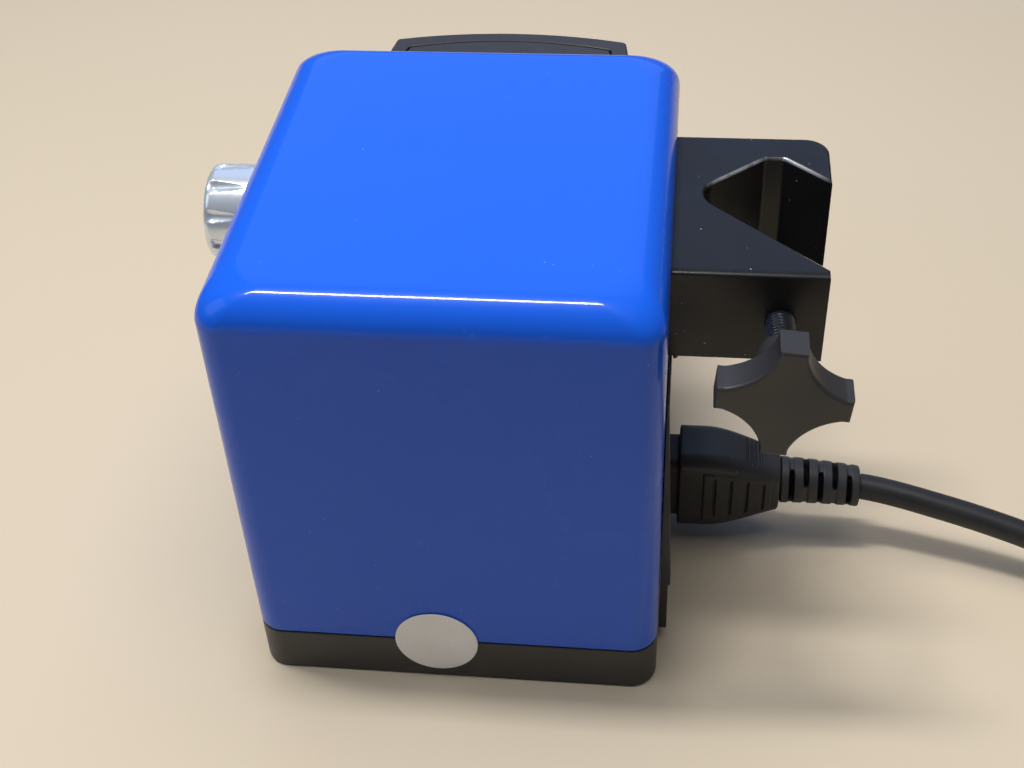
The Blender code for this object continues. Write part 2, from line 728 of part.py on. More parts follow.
def build_cover():
    """The painted shell: open below, rounded on top, with a screw post in each corner."""
    sections = [cover_ring(0.0, COVER_BOTTOM)]
    for step in range(BROW_STEPS + 1):
        turn = math.pi / 2 * step / BROW_STEPS
        inset = COVER_BROW * (1 - math.cos(turn))
        sections.append(cover_ring(inset, UNIT_HEIGHT - COVER_BROW * (1 - math.sin(turn))))
    cover = loft("cover", sections, "blue_paint", cap_start=False)
    shell = cover.modifiers.new("wall", "SOLIDIFY")
    shell.thickness = COVER_WALL
    shell.offset = -1.0
    shell.use_even_offset = True
    post_low = LIP_TOP + GAP
    posts = rods("cover_posts", [((x, y, post_low), POST_HEIGHT) for x, y in POST_PLACES], POST_RADIUS, "Z")
    webs = []
    for x, y in POST_PLACES:
        out = math.copysign(WALL_X - COVER_WALL / 2, x)
        low = (min(x, out), y - LIP_WALL / 2, post_low)
        high = (max(x, out), y + LIP_WALL / 2, post_low + POST_HEIGHT)
        webs.append((low, high))
    fuse(cover, posts, boxes("cover_webs", webs))
    reach = 2 * COVER_WALL
    right = WALL_X - COVER_WALL - reach
    left = -WALL_X - reach
    far = WALL_Y - COVER_WALL - reach
    through = COVER_WALL + 2 * reach
    bite = BASE_SCREW_BITE + GAP
    cut(
        cover,
        rods("post_holes", [((x, y, post_low - GAP), bite) for x, y in POST_PLACES],
             BASE_SCREW_RADIUS + GAP, "Z"),
        rods("knob_hole", [((left, KNOB_Y, KNOB_Z), through)], BUSH_RADIUS + GAP, "X"),
        rods("clamp_holes", [((right, y, z), through) for y, z in CLAMP_BOLT_PLACES],
             CLAMP_BOLT_RADIUS + GAP, "X"),
        rods("panel_holes", [((right, y, z), through) for y, z in PANEL_SCREW_PLACES],
             PANEL_SCREW_RADIUS + GAP, "X"),
        rods("head_holes", [((x, far, z), through) for x, z in HEAD_BOLT_PLACES],
             HEAD_BOLT_RADIUS + GAP, "Y"),
        rods("lead_hole", [((0.0, far, GROMMET_Z), through)], GROMMET_RADIUS + GAP, "Y"),
        boxes("panel_window", [(
            (right, -PANEL_WIDTH / 2 + PANEL_WINDOW_MARGIN, PANEL_LOW),
            (right + through, PANEL_WIDTH / 2 - PANEL_WINDOW_MARGIN, PANEL_HIGH - PANEL_WINDOW_MARGIN),
        )]),
    )
    return smooth(cover)


def build_base():
    """The tray under the cover, the rubber sole let into it and the screws that hold the cover."""
    sections = [
        cover_ring(BASE_EDGE, BASE_LIFT),
        cover_ring(0.0, BASE_LIFT + BASE_EDGE),
        cover_ring(0.0, BASE_TOP),
        cover_ring(LIP_INSET, BASE_TOP),
        cover_ring(LIP_INSET, LIP_TOP),
    ]
    base = loft("base_tray", sections, "black_moulding")
    cavity = loft("tray_cavity", [cover_ring(BASE_WALL, z) for z in (BASE_FLOOR_TOP, LIP_TOP + BASE_FLOOR)])
    bosses = rods(
        "tray_bosses",
        [((x, y, UNDERSIDE + BASE_EDGE), LIP_TOP - UNDERSIDE - BASE_EDGE) for x, y in POST_PLACES],
        POST_RADIUS, "Z",
    )
    counterbore = BASE_SCREW_HEAD_HEIGHT + GAP
    below = SOLE_THICKNESS
    sole_width = COVER_WIDTH - 2 * SOLE_INSET
    sole_depth = COVER_DEPTH - 2 * SOLE_INSET
    recess = rectangle(sole_width + 2 * GAP, sole_depth + 2 * GAP, COVER_CORNER + GAP)
    notch_low = INLET_Z - INLET_HEIGHT / 2 - SLIDE_FIT
    notch_half = INLET_WIDTH / 2 + SLIDE_FIT
    cut(base, cavity)
    fuse(base, bosses)
    cut(
        base,
        plate("sole_recess", recess, -BASE_LIFT, UNDERSIDE),
        rods("tray_holes", [((x, y, below), LIP_TOP) for x, y in POST_PLACES], BASE_SCREW_RADIUS + GAP, "Z"),
        rods("tray_bores", [((x, y, below), GAP + counterbore) for x, y in POST_PLACES],
             BASE_SCREW_HEAD + GAP, "Z"),
        boxes("inlet_notch", [(
            (WALL_X - BASE_WALL - SOLE_THICKNESS, INLET_Y - notch_half, notch_low),
            (WALL_X + BASE_WALL, INLET_Y + notch_half, LIP_TOP + BASE_FLOOR),
        )]),
    )
    smooth(base)
    plate("sole_pad", rectangle(sole_width, sole_depth, COVER_CORNER), 0.0, SOLE_THICKNESS, "black_rubber")
    tip = LIP_TOP + BASE_SCREW_BITE - UNDERSIDE - GAP
    screws("base_screw", [(x, y, UNDERSIDE) for x, y in POST_PLACES],
           headed(BASE_SCREW_HEAD, BASE_SCREW_HEAD_HEIGHT, BASE_SCREW_RADIUS, tip), "Z", "steel")


def build_seal():
    """A blank round paper seal over the joint of cover and tray."""
    seal = rods("blank_seal", [((0.0, 0.0, 0.0), SEAL_THICKNESS)], SEAL_RADIUS, "Y", "white_paper", 40)
    seal.location = (SEAL_X, -WALL_Y - GAP - SEAL_THICKNESS, BASE_TOP)


def rib_section(y):
    """The wedge rib on the panel's near edge, with its thinner foot, cut across at this Y."""
    step = PANEL_LOW + PANEL_RIB_FOOT
    middle = PANEL_FACE + PANEL_THICKNESS / 2
    return across_y((
        (middle, PANEL_LOW),
        (PANEL_SKIN + PANEL_RIB_FOOT_PROUD, PANEL_LOW),
        (PANEL_SKIN + PANEL_RIB_FOOT_PROUD, step),
        (PANEL_SKIN + PANEL_RIB_PROUD, step + PANEL_RIB_PROUD - PANEL_RIB_FOOT_PROUD),
        (PANEL_SKIN, PANEL_HIGH - PANEL_RIB_TOP_MARGIN),
        (middle, PANEL_HIGH - PANEL_RIB_TOP_MARGIN),
    ), y)


def build_rear_panel():
    """The black panel on the right wall with its near rib, and its flush screws."""
    near = -PANEL_WIDTH / 2
    panel = boxes("rear_panel", [((PANEL_FACE, near, PANEL_LOW), (PANEL_SKIN, -near, PANEL_HIGH))], "black_moulding")
    fuse(panel, loft("panel_rib", [rib_section(y) for y in (near, near + PANEL_RIB_WIDTH)]))
    before = PANEL_FACE - PANEL_THICKNESS
    through = 3 * PANEL_THICKNESS
    opening = rectangle(PLUG_NOSE_WIDTH + 2 * SLIDE_FIT, PLUG_NOSE_HEIGHT + 2 * SLIDE_FIT, PLUG_CORNER,
                        (INLET_Y, INLET_Z))
    window = rectangle(SWITCH_WIDTH + 2 * GAP, SWITCH_HEIGHT + 2 * GAP, 0.0, (SWITCH_Y, SWITCH_Z))
    head_seat = PANEL_SCREW_HEAD + GAP
    cone = PANEL_SCREW_HEAD - PANEL_SCREW_RADIUS
    skin = PANEL_SKIN - GAP
    sinks = []
    for place in PANEL_SCREW_PLACES:
        sinks.append([
            across_x(circle(PANEL_SCREW_RADIUS + GAP, 16, place), skin - cone),
            across_x(circle(head_seat, 16, place), skin),
            across_x(circle(head_seat, 16, place), skin + PANEL_THICKNESS + PANEL_RIB_PROUD),
        ])
    cut(
        panel,
        loft("nose_opening", [across_x(opening, x) for x in (before, before + through)]),
        loft("switch_window", [across_x(window, x) for x in (before, before + through)]),
        rods("fuse_hole", [((before, FUSE_Y, FUSE_Z), through)], FUSE_BODY_RADIUS + GAP, "X"),
        rods("panel_screw_holes", [((before, y, z), through) for y, z in PANEL_SCREW_PLACES],
             PANEL_SCREW_RADIUS + GAP, "X"),
        group("panel_sinks", sinks),
    )
    screws("panel_screw", [(skin, y, z) for y, z in PANEL_SCREW_PLACES],
           [(PANEL_SCREW_RADIUS, -PANEL_SCREW_LENGTH), (PANEL_SCREW_RADIUS, -cone), (PANEL_SCREW_HEAD, 0.0)],
           "X", "steel")


def pin_box(offset_y, offset_z, back, front, margin=0.0):
    """One flat pin of the inlet, or with a margin the slot that it needs."""
    half_y = PIN_LONG / 2 + margin
    half_z = PIN_THIN / 2 + margin
    y = INLET_Y + offset_y
    z = INLET_Z + offset_z
    return (back, y - half_y, z - half_z), (front, y + half_y, z + half_z)


PIN_PLACES = ((-PIN_EARTH_OFFSET / 2, -PIN_PITCH), (PIN_EARTH_OFFSET / 2, 0.0), (-PIN_EARTH_OFFSET / 2, PIN_PITCH))


def build_inlet():
    """The mains inlet behind the panel: its socket and three flat pins."""
    outline = rectangle(INLET_WIDTH, INLET_HEIGHT, INLET_CORNER, (INLET_Y, INLET_Z))
    hollow = rectangle(PLUG_NOSE_WIDTH + 2 * SLIDE_FIT, PLUG_NOSE_HEIGHT + 2 * SLIDE_FIT, PLUG_CORNER,
                       (INLET_Y, INLET_Z))
    back = INLET_FRONT - INLET_LENGTH
    floor = back + INLET_BACK
    socket = loft("inlet_socket", [across_x(outline, x) for x in (back, INLET_FRONT)], "black_moulding")
    cut(socket, loft("inlet_hollow", [across_x(hollow, x) for x in (floor, INLET_FRONT + INLET_BACK)]))
    start = floor + GAP
    half_y = PIN_EARTH_OFFSET / 2 + PIN_LONG / 2 + PIN_CARRIER_EDGE
    half_z = PIN_PITCH + PIN_THIN / 2 + PIN_CARRIER_EDGE
    pins = boxes("inlet_pins", [(
        (start, INLET_Y - half_y, INLET_Z - half_z),
        (start + PIN_CARRIER, INLET_Y + half_y, INLET_Z + half_z),
    )], "steel")
    fuse(pins, boxes("inlet_blades", [
        pin_box(y, z, start + PIN_CARRIER / 2, start + PIN_CARRIER + PIN_LENGTH) for y, z in PIN_PLACES
    ]))


def build_connector():
    """The moulded cord connector in the inlet and the ringed strain relief behind it."""
    def section(width, height, x):
        return across_x(rectangle(width, height, PLUG_CORNER, (INLET_Y, INLET_Z), 3), x)

    tip = INLET_FRONT - INLET_LENGTH + INLET_BACK + PIN_CARRIER + 2 * GAP
    connector = loft("mains_connector", [
        section(PLUG_NOSE_WIDTH, PLUG_NOSE_HEIGHT, tip),
        section(PLUG_NOSE_WIDTH, PLUG_NOSE_HEIGHT, PLUG_SHOULDER),
        section(PLUG_WIDTH, PLUG_HEIGHT, PLUG_SHOULDER),
        section(PLUG_WIDTH, PLUG_HEIGHT, PLUG_SHOULDER + PLUG_STRAIGHT),
        section(PLUG_END_WIDTH, PLUG_END_HEIGHT, PLUG_BACK),
    ], "black_moulding")
    slots = [pin_box(y, z, tip - INLET_BACK, tip + PIN_LENGTH + GAP, GAP) for y, z in PIN_PLACES]
    smooth(cut(connector, boxes("pin_slots", slots)), 25.0)

    ring = BOOT_LENGTH / (2 * BOOT_RINGS - 1)
    sections = []
    for index in range(2 * BOOT_RINGS - 1):
        for along in (index * ring, (index + 1) * ring):
            share = along / BOOT_LENGTH
            outer = BOOT_START_RADIUS + (BOOT_END_RADIUS - BOOT_START_RADIUS) * share
            radius = outer if index % 2 == 0 else BOOT_CORE_RADIUS
            centre = (INLET_Y, INLET_Z - BOOT_SAG * share * share)
            sections.append(across_x(circle(radius, 20, centre), BOOT_START + along))
    smooth(loft("connector_boot", sections, "black_rubber"))


def spline_points(stops, spacing):
    """Points a set distance apart along a smooth curve through the stops, less its two end stops."""
    rough = []
    for a, b, c, d in zip(stops, stops[1:], stops[2:], stops[3:]):
        for step in range(24):
            t = step / 24
            rough.append(0.5 * (2 * b + (c - a) * t + (2 * a - 5 * b + 4 * c - d) * t * t
                                + (3 * b - a - 3 * c + d) * t * t * t))
    rough.append(stops[-2])
    lengths = [0.0]
    for before, after in zip(rough, rough[1:]):
        lengths.append(lengths[-1] + (after - before).length)
    count = max(2, round(lengths[-1] / spacing))
    points = []
    cursor = 0
    for step in range(count + 1):
        wanted = lengths[-1] * step / count
        while cursor < len(rough) - 2 and lengths[cursor + 1] < wanted:
            cursor += 1
        span = lengths[cursor + 1] - lengths[cursor]
        points.append(rough[cursor].lerp(rough[cursor + 1], (wanted - lengths[cursor]) / span))
    return points


def tube(name, points, radius, resolution, finish_name):
    """A round tube along points, with filled ends."""
    curve = bpy.data.curves.new(name, "CURVE")
    curve.dimensions = "3D"
    curve.bevel_depth = radius
    curve.bevel_resolution = resolution
    curve.use_fill_caps = True
    spline = curve.splines.new("POLY")
    spline.points.add(len(points) - 1)
    for place, point in zip(spline.points, points):
        place.co = (*point, 1.0)
    return add(name, curve, finish_name)


def coil_points():
    """Loops that spiral in on the lower layer and out again on the upper one.

    The radius falls by one pitch a turn to the middle of the winding and then grows again. The
    height climbs one pitch in the half turn round that middle. Both ends run straight.
    """
    centre = Vector((*COIL_CENTRE, 0.0))
    steps = round(COIL_TURNS * COIL_STEPS)
    middle = COIL_TURNS / 2
    points = [centre + Vector((-CORD_DIAMETER, -COIL_OUTER, COIL_LOW))]
    for step in range(steps + 1):
        turns = step / COIL_STEPS
        radius = COIL_INNER + COIL_PITCH * abs(turns - middle)
        climb = min(1.0, max(0.0, (turns - middle) / 0.5 + 0.5))
        height = COIL_LOW + (COIL_HIGH - COIL_LOW) * climb * climb * (3 - 2 * climb)
        angle = 2 * math.pi * turns - math.pi / 2
        points.append(centre + Vector((radius * math.cos(angle), radius * math.sin(angle), height)))
    end = points[-1]
    angle = 2 * math.pi * COIL_TURNS - math.pi / 2
    onward = Vector((-math.sin(angle), math.cos(angle), 0.0))
    drop = COIL_HIGH - MAINS_PLUG_REST
    for step in range(1, COIL_TAIL_STEPS + 1):
        share = min(1.0, step / (COIL_TAIL_STEPS - 1))
        fall = Vector((0.0, 0.0, -drop * share * share * (3 - 2 * share)))
        points.append(end + onward * COIL_TAIL * step / COIL_TAIL_STEPS + fall)
    return points, onward


def least_self_gap(points):
    """The least air between stretches of the coil that aren't neighbours along it."""
    apart = COIL_STEPS // 2
    least = min(
        (points[a] - points[b]).length
        for a in range(len(points))
        for b in range(a + apart, len(points))
    )
    return least - CORD_DIAMETER


def build_cord():
    """The free cord, the put away coil with its tie, and the mains plug on its end."""
    loops, onward = coil_points()
    print("coil self gap in mm:", round(least_self_gap(loops) / MM, 3))
    lead = loops[0] - (loops[1] - loops[0]).normalized() * GAP
    stops = [CORD_START, CORD_START + Vector((CORD_DIAMETER, 0.0, 0.0))]
    stops += [Vector(place) for place in ROUTE]
    stops += [lead - Vector((CORD_DIAMETER, 0.0, 0.0)), lead]
    route = [stops[0], *spline_points(stops, CORD_STEP * CORD_DIAMETER), stops[-1]]
    smooth_tube = tube("mains_cord", route, CORD_RADIUS, 3, "black_rubber")
    smooth_tube.data.splines[0].use_smooth = True
    tube("cord_coil", loops, CORD_RADIUS, 1, "black_rubber")
    length = sum((b - a).length for a, b in zip(route, route[1:]))
    length += sum((b - a).length for a, b in zip(loops, loops[1:]))
    print("cord length in m:", round(length, 4))

    inside = COIL_OUTER - COIL_INNER + CORD_DIAMETER + 2 * COIL_PITCH / 2 + 2 * GAP
    tall = COIL_HIGH - COIL_LOW + CORD_DIAMETER + 2 * GAP
    middle_z = (COIL_LOW + COIL_HIGH) / 2
    band = rectangle(inside + 2 * TIE_THICKNESS, tall + 2 * TIE_THICKNESS, CORD_RADIUS)
    bore = rectangle(inside, tall, CORD_RADIUS - TIE_THICKNESS)
    tie = loft("coil_tie", [across_y(band, side * TIE_WIDTH / 2) for side in (-1, 1)], "black_rubber")
    hollow = loft("tie_hollow", [across_y(bore, side * TIE_WIDTH) for side in (-1, 1)])
    turn = math.radians(TIE_ANGLE)
    for thing in (tie, hollow):
        thing.location = (
            COIL_CENTRE[0] + COIL_MID_RADIUS * math.cos(turn),
            COIL_CENTRE[1] + COIL_MID_RADIUS * math.sin(turn),
            middle_z,
        )
        thing.rotation_euler.z = turn
    cut(tie, hollow)
    build_mains_plug(loops[-1] + onward * GAP)


def build_mains_plug(start):
    """The plug at the cord's end: a tapered body, two flat blades and a round earth pin."""
    centre = (start.x, start.z)

    def section(width, height, radius, along):
        return across_y(rectangle(width, height, radius, centre, 3), start.y + along)

    neck = 2 * MAINS_PLUG_NECK
    body_start = MAINS_PLUG_LENGTH / 2
    loft("mains_plug", [
        section(neck, neck, MAINS_PLUG_CORNER, 0.0),
        section(neck, neck, MAINS_PLUG_CORNER, MAINS_PLUG_NECK),
        section(MAINS_PLUG_WIDTH, MAINS_PLUG_HEIGHT, MAINS_PLUG_CORNER, body_start),
        section(MAINS_PLUG_WIDTH, MAINS_PLUG_HEIGHT, MAINS_PLUG_CORNER, MAINS_PLUG_LENGTH),
    ], "black_moulding")
    face = start.y + MAINS_PLUG_LENGTH + GAP
    rise = start.z + EARTH_DROP / 2
    half = BLADE_PITCH / 2 + BLADE_THIN / 2 + BLADE_CARRIER_EDGE
    pins = boxes("mains_plug_pins", [(
        (start.x - half, face, rise - EARTH_DROP - EARTH_RADIUS - BLADE_CARRIER_EDGE),
        (start.x + half, face + BLADE_CARRIER, rise + BLADE_WIDTH / 2 + BLADE_CARRIER_EDGE),
    )], "brass")
    root = face + BLADE_CARRIER / 2
    end = face + BLADE_CARRIER + BLADE_LENGTH
    solids = []
    for side in (-1, 1):
        blade = rectangle(BLADE_THIN, BLADE_WIDTH, 0.0, (start.x + side * BLADE_PITCH / 2, rise))
        solids.append([across_y(blade, y) for y in (root, end)])
    earth = circle(EARTH_RADIUS, 12, (start.x, rise - EARTH_DROP))
    solids.append([across_y(earth, y) for y in (root, end)])
    for number, sections in enumerate(solids, 1):
        fuse(pins, loft(f"mains_blade_{number}", sections))


def build_switch():
    """The rocker switch: its frame with body, and the rocker on its pivot."""
    skin = PANEL_SKIN + GAP
    rim = skin + SWITCH_FRAME_PROUD
    back = skin - SWITCH_BODY_LENGTH
    centre = (SWITCH_Y, SWITCH_Z)
    edge = 2 * SWITCH_FRAME_EDGE
    body = rectangle(SWITCH_WIDTH, SWITCH_HEIGHT, 0.0, centre)
    collar = rectangle(SWITCH_WIDTH + edge, SWITCH_HEIGHT + edge, 0.0, centre)
    frame = loft("switch_frame", [
        across_x(body, back), across_x(body, skin), across_x(collar, skin), across_x(collar, rim),
    ], "black_moulding")
    well = rectangle(SWITCH_WIDTH - 2 * SWITCH_WALL, SWITCH_HEIGHT - 2 * SWITCH_WALL, 0.0, centre)
    cut(frame, loft("switch_well", [across_x(well, x) for x in (back + SWITCH_WALL, rim + SWITCH_WALL)]))

    pivot = joint_axis("switch_pivot", (rim - ROCKER_DEPTH / 2, SWITCH_Y, SWITCH_Z))
    tall = (SWITCH_HEIGHT - 2 * SWITCH_WALL) / 2 - SLIDE_FIT
    wide = SWITCH_WIDTH / 2 - SWITCH_WALL - SLIDE_FIT
    reach = tall * math.cos(math.radians(ROCKER_TILT)) - ROCKER_DEPTH / 2 * math.sin(math.radians(ROCKER_TILT))
    profile = [(-ROCKER_DEPTH / 2, -reach * 0.7), (ROCKER_DEPTH / 2, -reach)]
    for step in range(1, 6):
        share = step / 6
        hollow = ROCKER_ARC - math.sqrt(ROCKER_ARC ** 2 - (reach * (2 * share - 1)) ** 2)
        dip = ROCKER_ARC - math.sqrt(ROCKER_ARC ** 2 - reach ** 2)
        profile.append((ROCKER_DEPTH / 2 - (dip - hollow) * 0.5, reach * (2 * share - 1)))
    profile += [(ROCKER_DEPTH / 2, reach), (-ROCKER_DEPTH / 2, reach * 0.7)]
    rocker = loft("switch_rocker", [across_y(profile, side * wide) for side in (-1, 1)], "black_moulding")
    rocker.rotation_euler.y = math.radians(ROCKER_TILT)
    carry(pivot, rocker)


def build_fuse():
    """The panel fuse holder, its cap and the glass fuse in it."""
    skin = PANEL_SKIN + GAP
    holder = turned("fuse_holder", [
        (0.0, FUSE_FLANGE_THICKNESS - FUSE_BODY_LENGTH + FUSE_FLANGE_THICKNESS),
        (FUSE_BORE, FUSE_FLANGE_THICKNESS - FUSE_BODY_LENGTH + FUSE_FLANGE_THICKNESS),
        (FUSE_BORE, FUSE_FLANGE_THICKNESS),
        (FUSE_FLANGE_RADIUS, FUSE_FLANGE_THICKNESS),
        (FUSE_FLANGE_RADIUS, 0.0),
        (FUSE_BODY_RADIUS, 0.0),
        (FUSE_BODY_RADIUS, -FUSE_BODY_LENGTH),
        (0.0, -FUSE_BODY_LENGTH),
    ], "black_moulding", 20)
    holder.location = (skin, FUSE_Y, FUSE_Z)
    holder.rotation_euler.y = math.pi / 2
    axis = joint_axis("fuse_axis", (skin + FUSE_FLANGE_THICKNESS + GAP, FUSE_Y, FUSE_Z))
    stem = FUSE_BORE - SLIDE_FIT
    socket = FUSE_RADIUS + GAP
    cap = turned("fuse_cap", [
        (0.0, FUSE_CAP_LENGTH),
        (FUSE_CAP_RADIUS - FUSE_CAP_SLOT, FUSE_CAP_LENGTH),
        (FUSE_CAP_RADIUS, FUSE_CAP_LENGTH - FUSE_CAP_SLOT),
        (FUSE_CAP_RADIUS, 0.0),
        (stem, 0.0),
        (stem, -FUSE_CAP_LENGTH),
        (socket, -FUSE_CAP_LENGTH),
        (socket, -FUSE_CAP_SLOT),
        (0.0, -FUSE_CAP_SLOT),
    ], "black_moulding", 20)
    slot = boxes("fuse_slot", [(
        (-FUSE_CAP_SLOT / 2, -FUSE_CAP_RADIUS, FUSE_CAP_LENGTH - FUSE_CAP_SLOT),
        (FUSE_CAP_SLOT / 2, FUSE_CAP_RADIUS, FUSE_CAP_LENGTH + FUSE_CAP_SLOT),
    )])
    cut(cap, slot)
    fuse_start = -FUSE_CAP_SLOT - GAP - FUSE_LENGTH
    cartridge = rods("fuse_cartridge", [((0.0, 0.0, fuse_start), FUSE_LENGTH)], FUSE_RADIUS, "Z", "glass", 12)
    for piece in (cap, slot, cartridge):
        piece.rotation_euler.y = math.pi / 2
    carry(axis, cap, slot, cartridge)


def build_clamp():
    """The stand clamp: its notched block, the bolts inside the wall, the screw, pad and star knob."""
    lip_x = CLAMP_FACE + CLAMP_REACH
    jaw_x = CLAMP_FACE + JAW_REACH
    apex_x = CLAMP_FACE + NOTCH_APEX_REACH
    seat_x = CLAMP_FACE + SEAT_REACH
    outline = rounded_outline([
        (CLAMP_FACE, JAW_FACE, 0.0),
        (jaw_x, JAW_FACE, 0.0),
        (jaw_x, JAW_FACE + JAW_TIP, 0.0),
        (apex_x, NOTCH_APEX_Y, NOTCH_APEX_RADIUS),
        (seat_x - SEAT_FLAT / 2, SEAT_Y, SEAT_RADIUS),
        (seat_x + SEAT_FLAT / 2, SEAT_Y, SEAT_RADIUS),
        (lip_x, NOTCH_LIP_Y, 0.0),
        (lip_x, CLAMP_FAR, CLAMP_CORNER),
        (CLAMP_FACE, CLAMP_FAR, 0.0),
    ], 4)
    block = plate("clamp_block", outline, CLAMP_LOW, CLAMP_LOW + CLAMP_HEIGHT, "black_metal")
    before = CLAMP_FACE - GAP
    cut(
        block,
        rods("jaw_bore", [((CLAMP_SCREW_X, JAW_FACE - SEAT_FLAT, CLAMP_SCREW_Z), SEAT_FLAT - JAW_FACE + NOTCH_APEX_Y)],
             CLAMP_SCREW_RADIUS + GAP, "Y"),
        rods("clamp_bolt_bores", [((before, y, z), CLAMP_BOLT_BITE + 2 * GAP) for y, z in CLAMP_BOLT_PLACES],
             CLAMP_BOLT_RADIUS + GAP, "X"),
    )
    smooth(block)
    inside = WALL_X - COVER_WALL - GAP
    tip = CLAMP_BOLT_HEAD_HEIGHT + GAP + COVER_WALL + GAP + CLAMP_BOLT_BITE
    screws("clamp_bolt", [(inside - CLAMP_BOLT_HEAD_HEIGHT, y, z) for y, z in CLAMP_BOLT_PLACES],
           headed(CLAMP_BOLT_HEAD, CLAMP_BOLT_HEAD_HEIGHT, CLAMP_BOLT_RADIUS, tip), "X", "steel")

    slope = (NOTCH_APEX_Y - JAW_FACE - JAW_TIP) / (jaw_x - apex_x)
    jaw_inner = NOTCH_APEX_Y - slope * (CLAMP_SCREW_X - PAD_RADIUS - apex_x)
    pad_back = jaw_inner + SLIDE_FIT + PAD_ADVANCE
    axis = joint_axis("clamp_axis", (CLAMP_SCREW_X, pad_back, CLAMP_SCREW_Z))
    socket = SCREW_TIP_RADIUS + GAP
    pad = turned("pressure_pad", [
        (0.0, PAD_THICKNESS),
        (PAD_RADIUS, PAD_THICKNESS),
        (PAD_RADIUS, 0.0),
        (socket, 0.0),
        (socket, PAD_SOCKET + GAP),
        (0.0, PAD_SOCKET + GAP),
    ], "black_moulding")
    shoulder = -GAP
    rear = STAR_BACK - STAR_BORE_DEPTH + GAP - pad_back
    screw = turned("clamp_screw", [
        (0.0, PAD_SOCKET),
        (SCREW_TIP_RADIUS, PAD_SOCKET),
        (SCREW_TIP_RADIUS, shoulder),
        (CLAMP_SCREW_RADIUS, shoulder),
        (CLAMP_SCREW_RADIUS, rear),
        (0.0, rear),
    ], "steel")
    star, hub, bore = star_knob(STAR_BACK - pad_back)
    for piece in (pad, screw, star, hub, bore):
        piece.rotation_euler.x = -math.pi / 2
    carry(axis, pad, screw, star, hub, bore)


def star_outline():
    """Four square lobes joined by hollow arcs, turned a little from upright."""
    half = STAR_LOBE_WIDTH / 2
    root = Vector((STAR_LOBE_ROOT, half))
    diagonal = Vector((1.0, 1.0)).normalized()
    along = root.dot(diagonal)
    beside = math.sqrt(root.length_squared - along ** 2)
    reach = (root.length_squared - STAR_WAIST ** 2) / (2 * (along - STAR_WAIST))
    radius = reach - STAR_WAIST
    spread = math.asin(beside / radius)
    outline = []
    for lobe in range(4):
        turn = Matrix.Rotation(lobe * math.pi / 2 + math.radians(STAR_TURN), 2)
        outline.append(turn @ Vector((STAR_RADIUS, -half)))
        outline.append(turn @ Vector((STAR_RADIUS, half)))
        for step in range(STAR_ARC_STEPS + 1):
            swing = spread * (2 * step / STAR_ARC_STEPS - 1)
            ray = Matrix.Rotation(-swing, 2) @ -diagonal
            outline.append(turn @ (diagonal * reach + ray * radius))
    return outline


def star_knob(back):
    """The star knob on the clamp screw, with its hub towards the jaw at this height."""
    front = back - STAR_HUB_LENGTH
    star = plate("star_knob", star_outline(), front - STAR_THICKNESS, front, "black_moulding")
    soften(star, STAR_EDGE)
    inside = front - STAR_THICKNESS / 2
    flare = (STAR_HUB_RADIUS - STAR_HUB_SMALL_RADIUS) / STAR_HUB_LENGTH
    hub = turned("star_hub", [
        (0.0, back),
        (STAR_HUB_SMALL_RADIUS, back),
        (STAR_HUB_SMALL_RADIUS + flare * (back - inside), inside),
        (0.0, inside),
    ])
    bore = turned("star_bore", [
        (0.0, back + STAR_EDGE),
        (CLAMP_SCREW_RADIUS + GAP, back + STAR_EDGE),
        (CLAMP_SCREW_RADIUS + GAP, back - STAR_BORE_DEPTH),
        (0.0, back - STAR_BORE_DEPTH),
    ])
    fuse(star, hub)
    cut(star, bore)
    return star, hub, bore


def knob_ring(along, radius):
    """One ring of the speed knob, with its leaf shaped flutes pressed in at this distance from the front."""
    share = max(0.0, 1.0 - along / KNOB_FLUTE_LENGTH)
    width = math.radians(KNOB_FLUTE_HALF_ANGLE) * math.sqrt(share)
    depth = KNOB_FLUTE_DEPTH * share
    ring = []
    count = KNOB_FLUTES * KNOB_FLUTE_STEPS
    pitch = 2 * math.pi / KNOB_FLUTES
    for step in range(count):
        turn = 2 * math.pi * step / count
        off = (turn + pitch / 2) % pitch - pitch / 2
        dip = depth * max(0.0, 1.0 - (off / width) ** 2) if width > 0 else 0.0
        angle = turn + math.radians(KNOB_FLUTE_PHASE)
        ring.append(Vector((KNOB_FRONT + along, (radius - dip) * math.cos(angle), (radius - dip) * math.sin(angle))))
    return ring


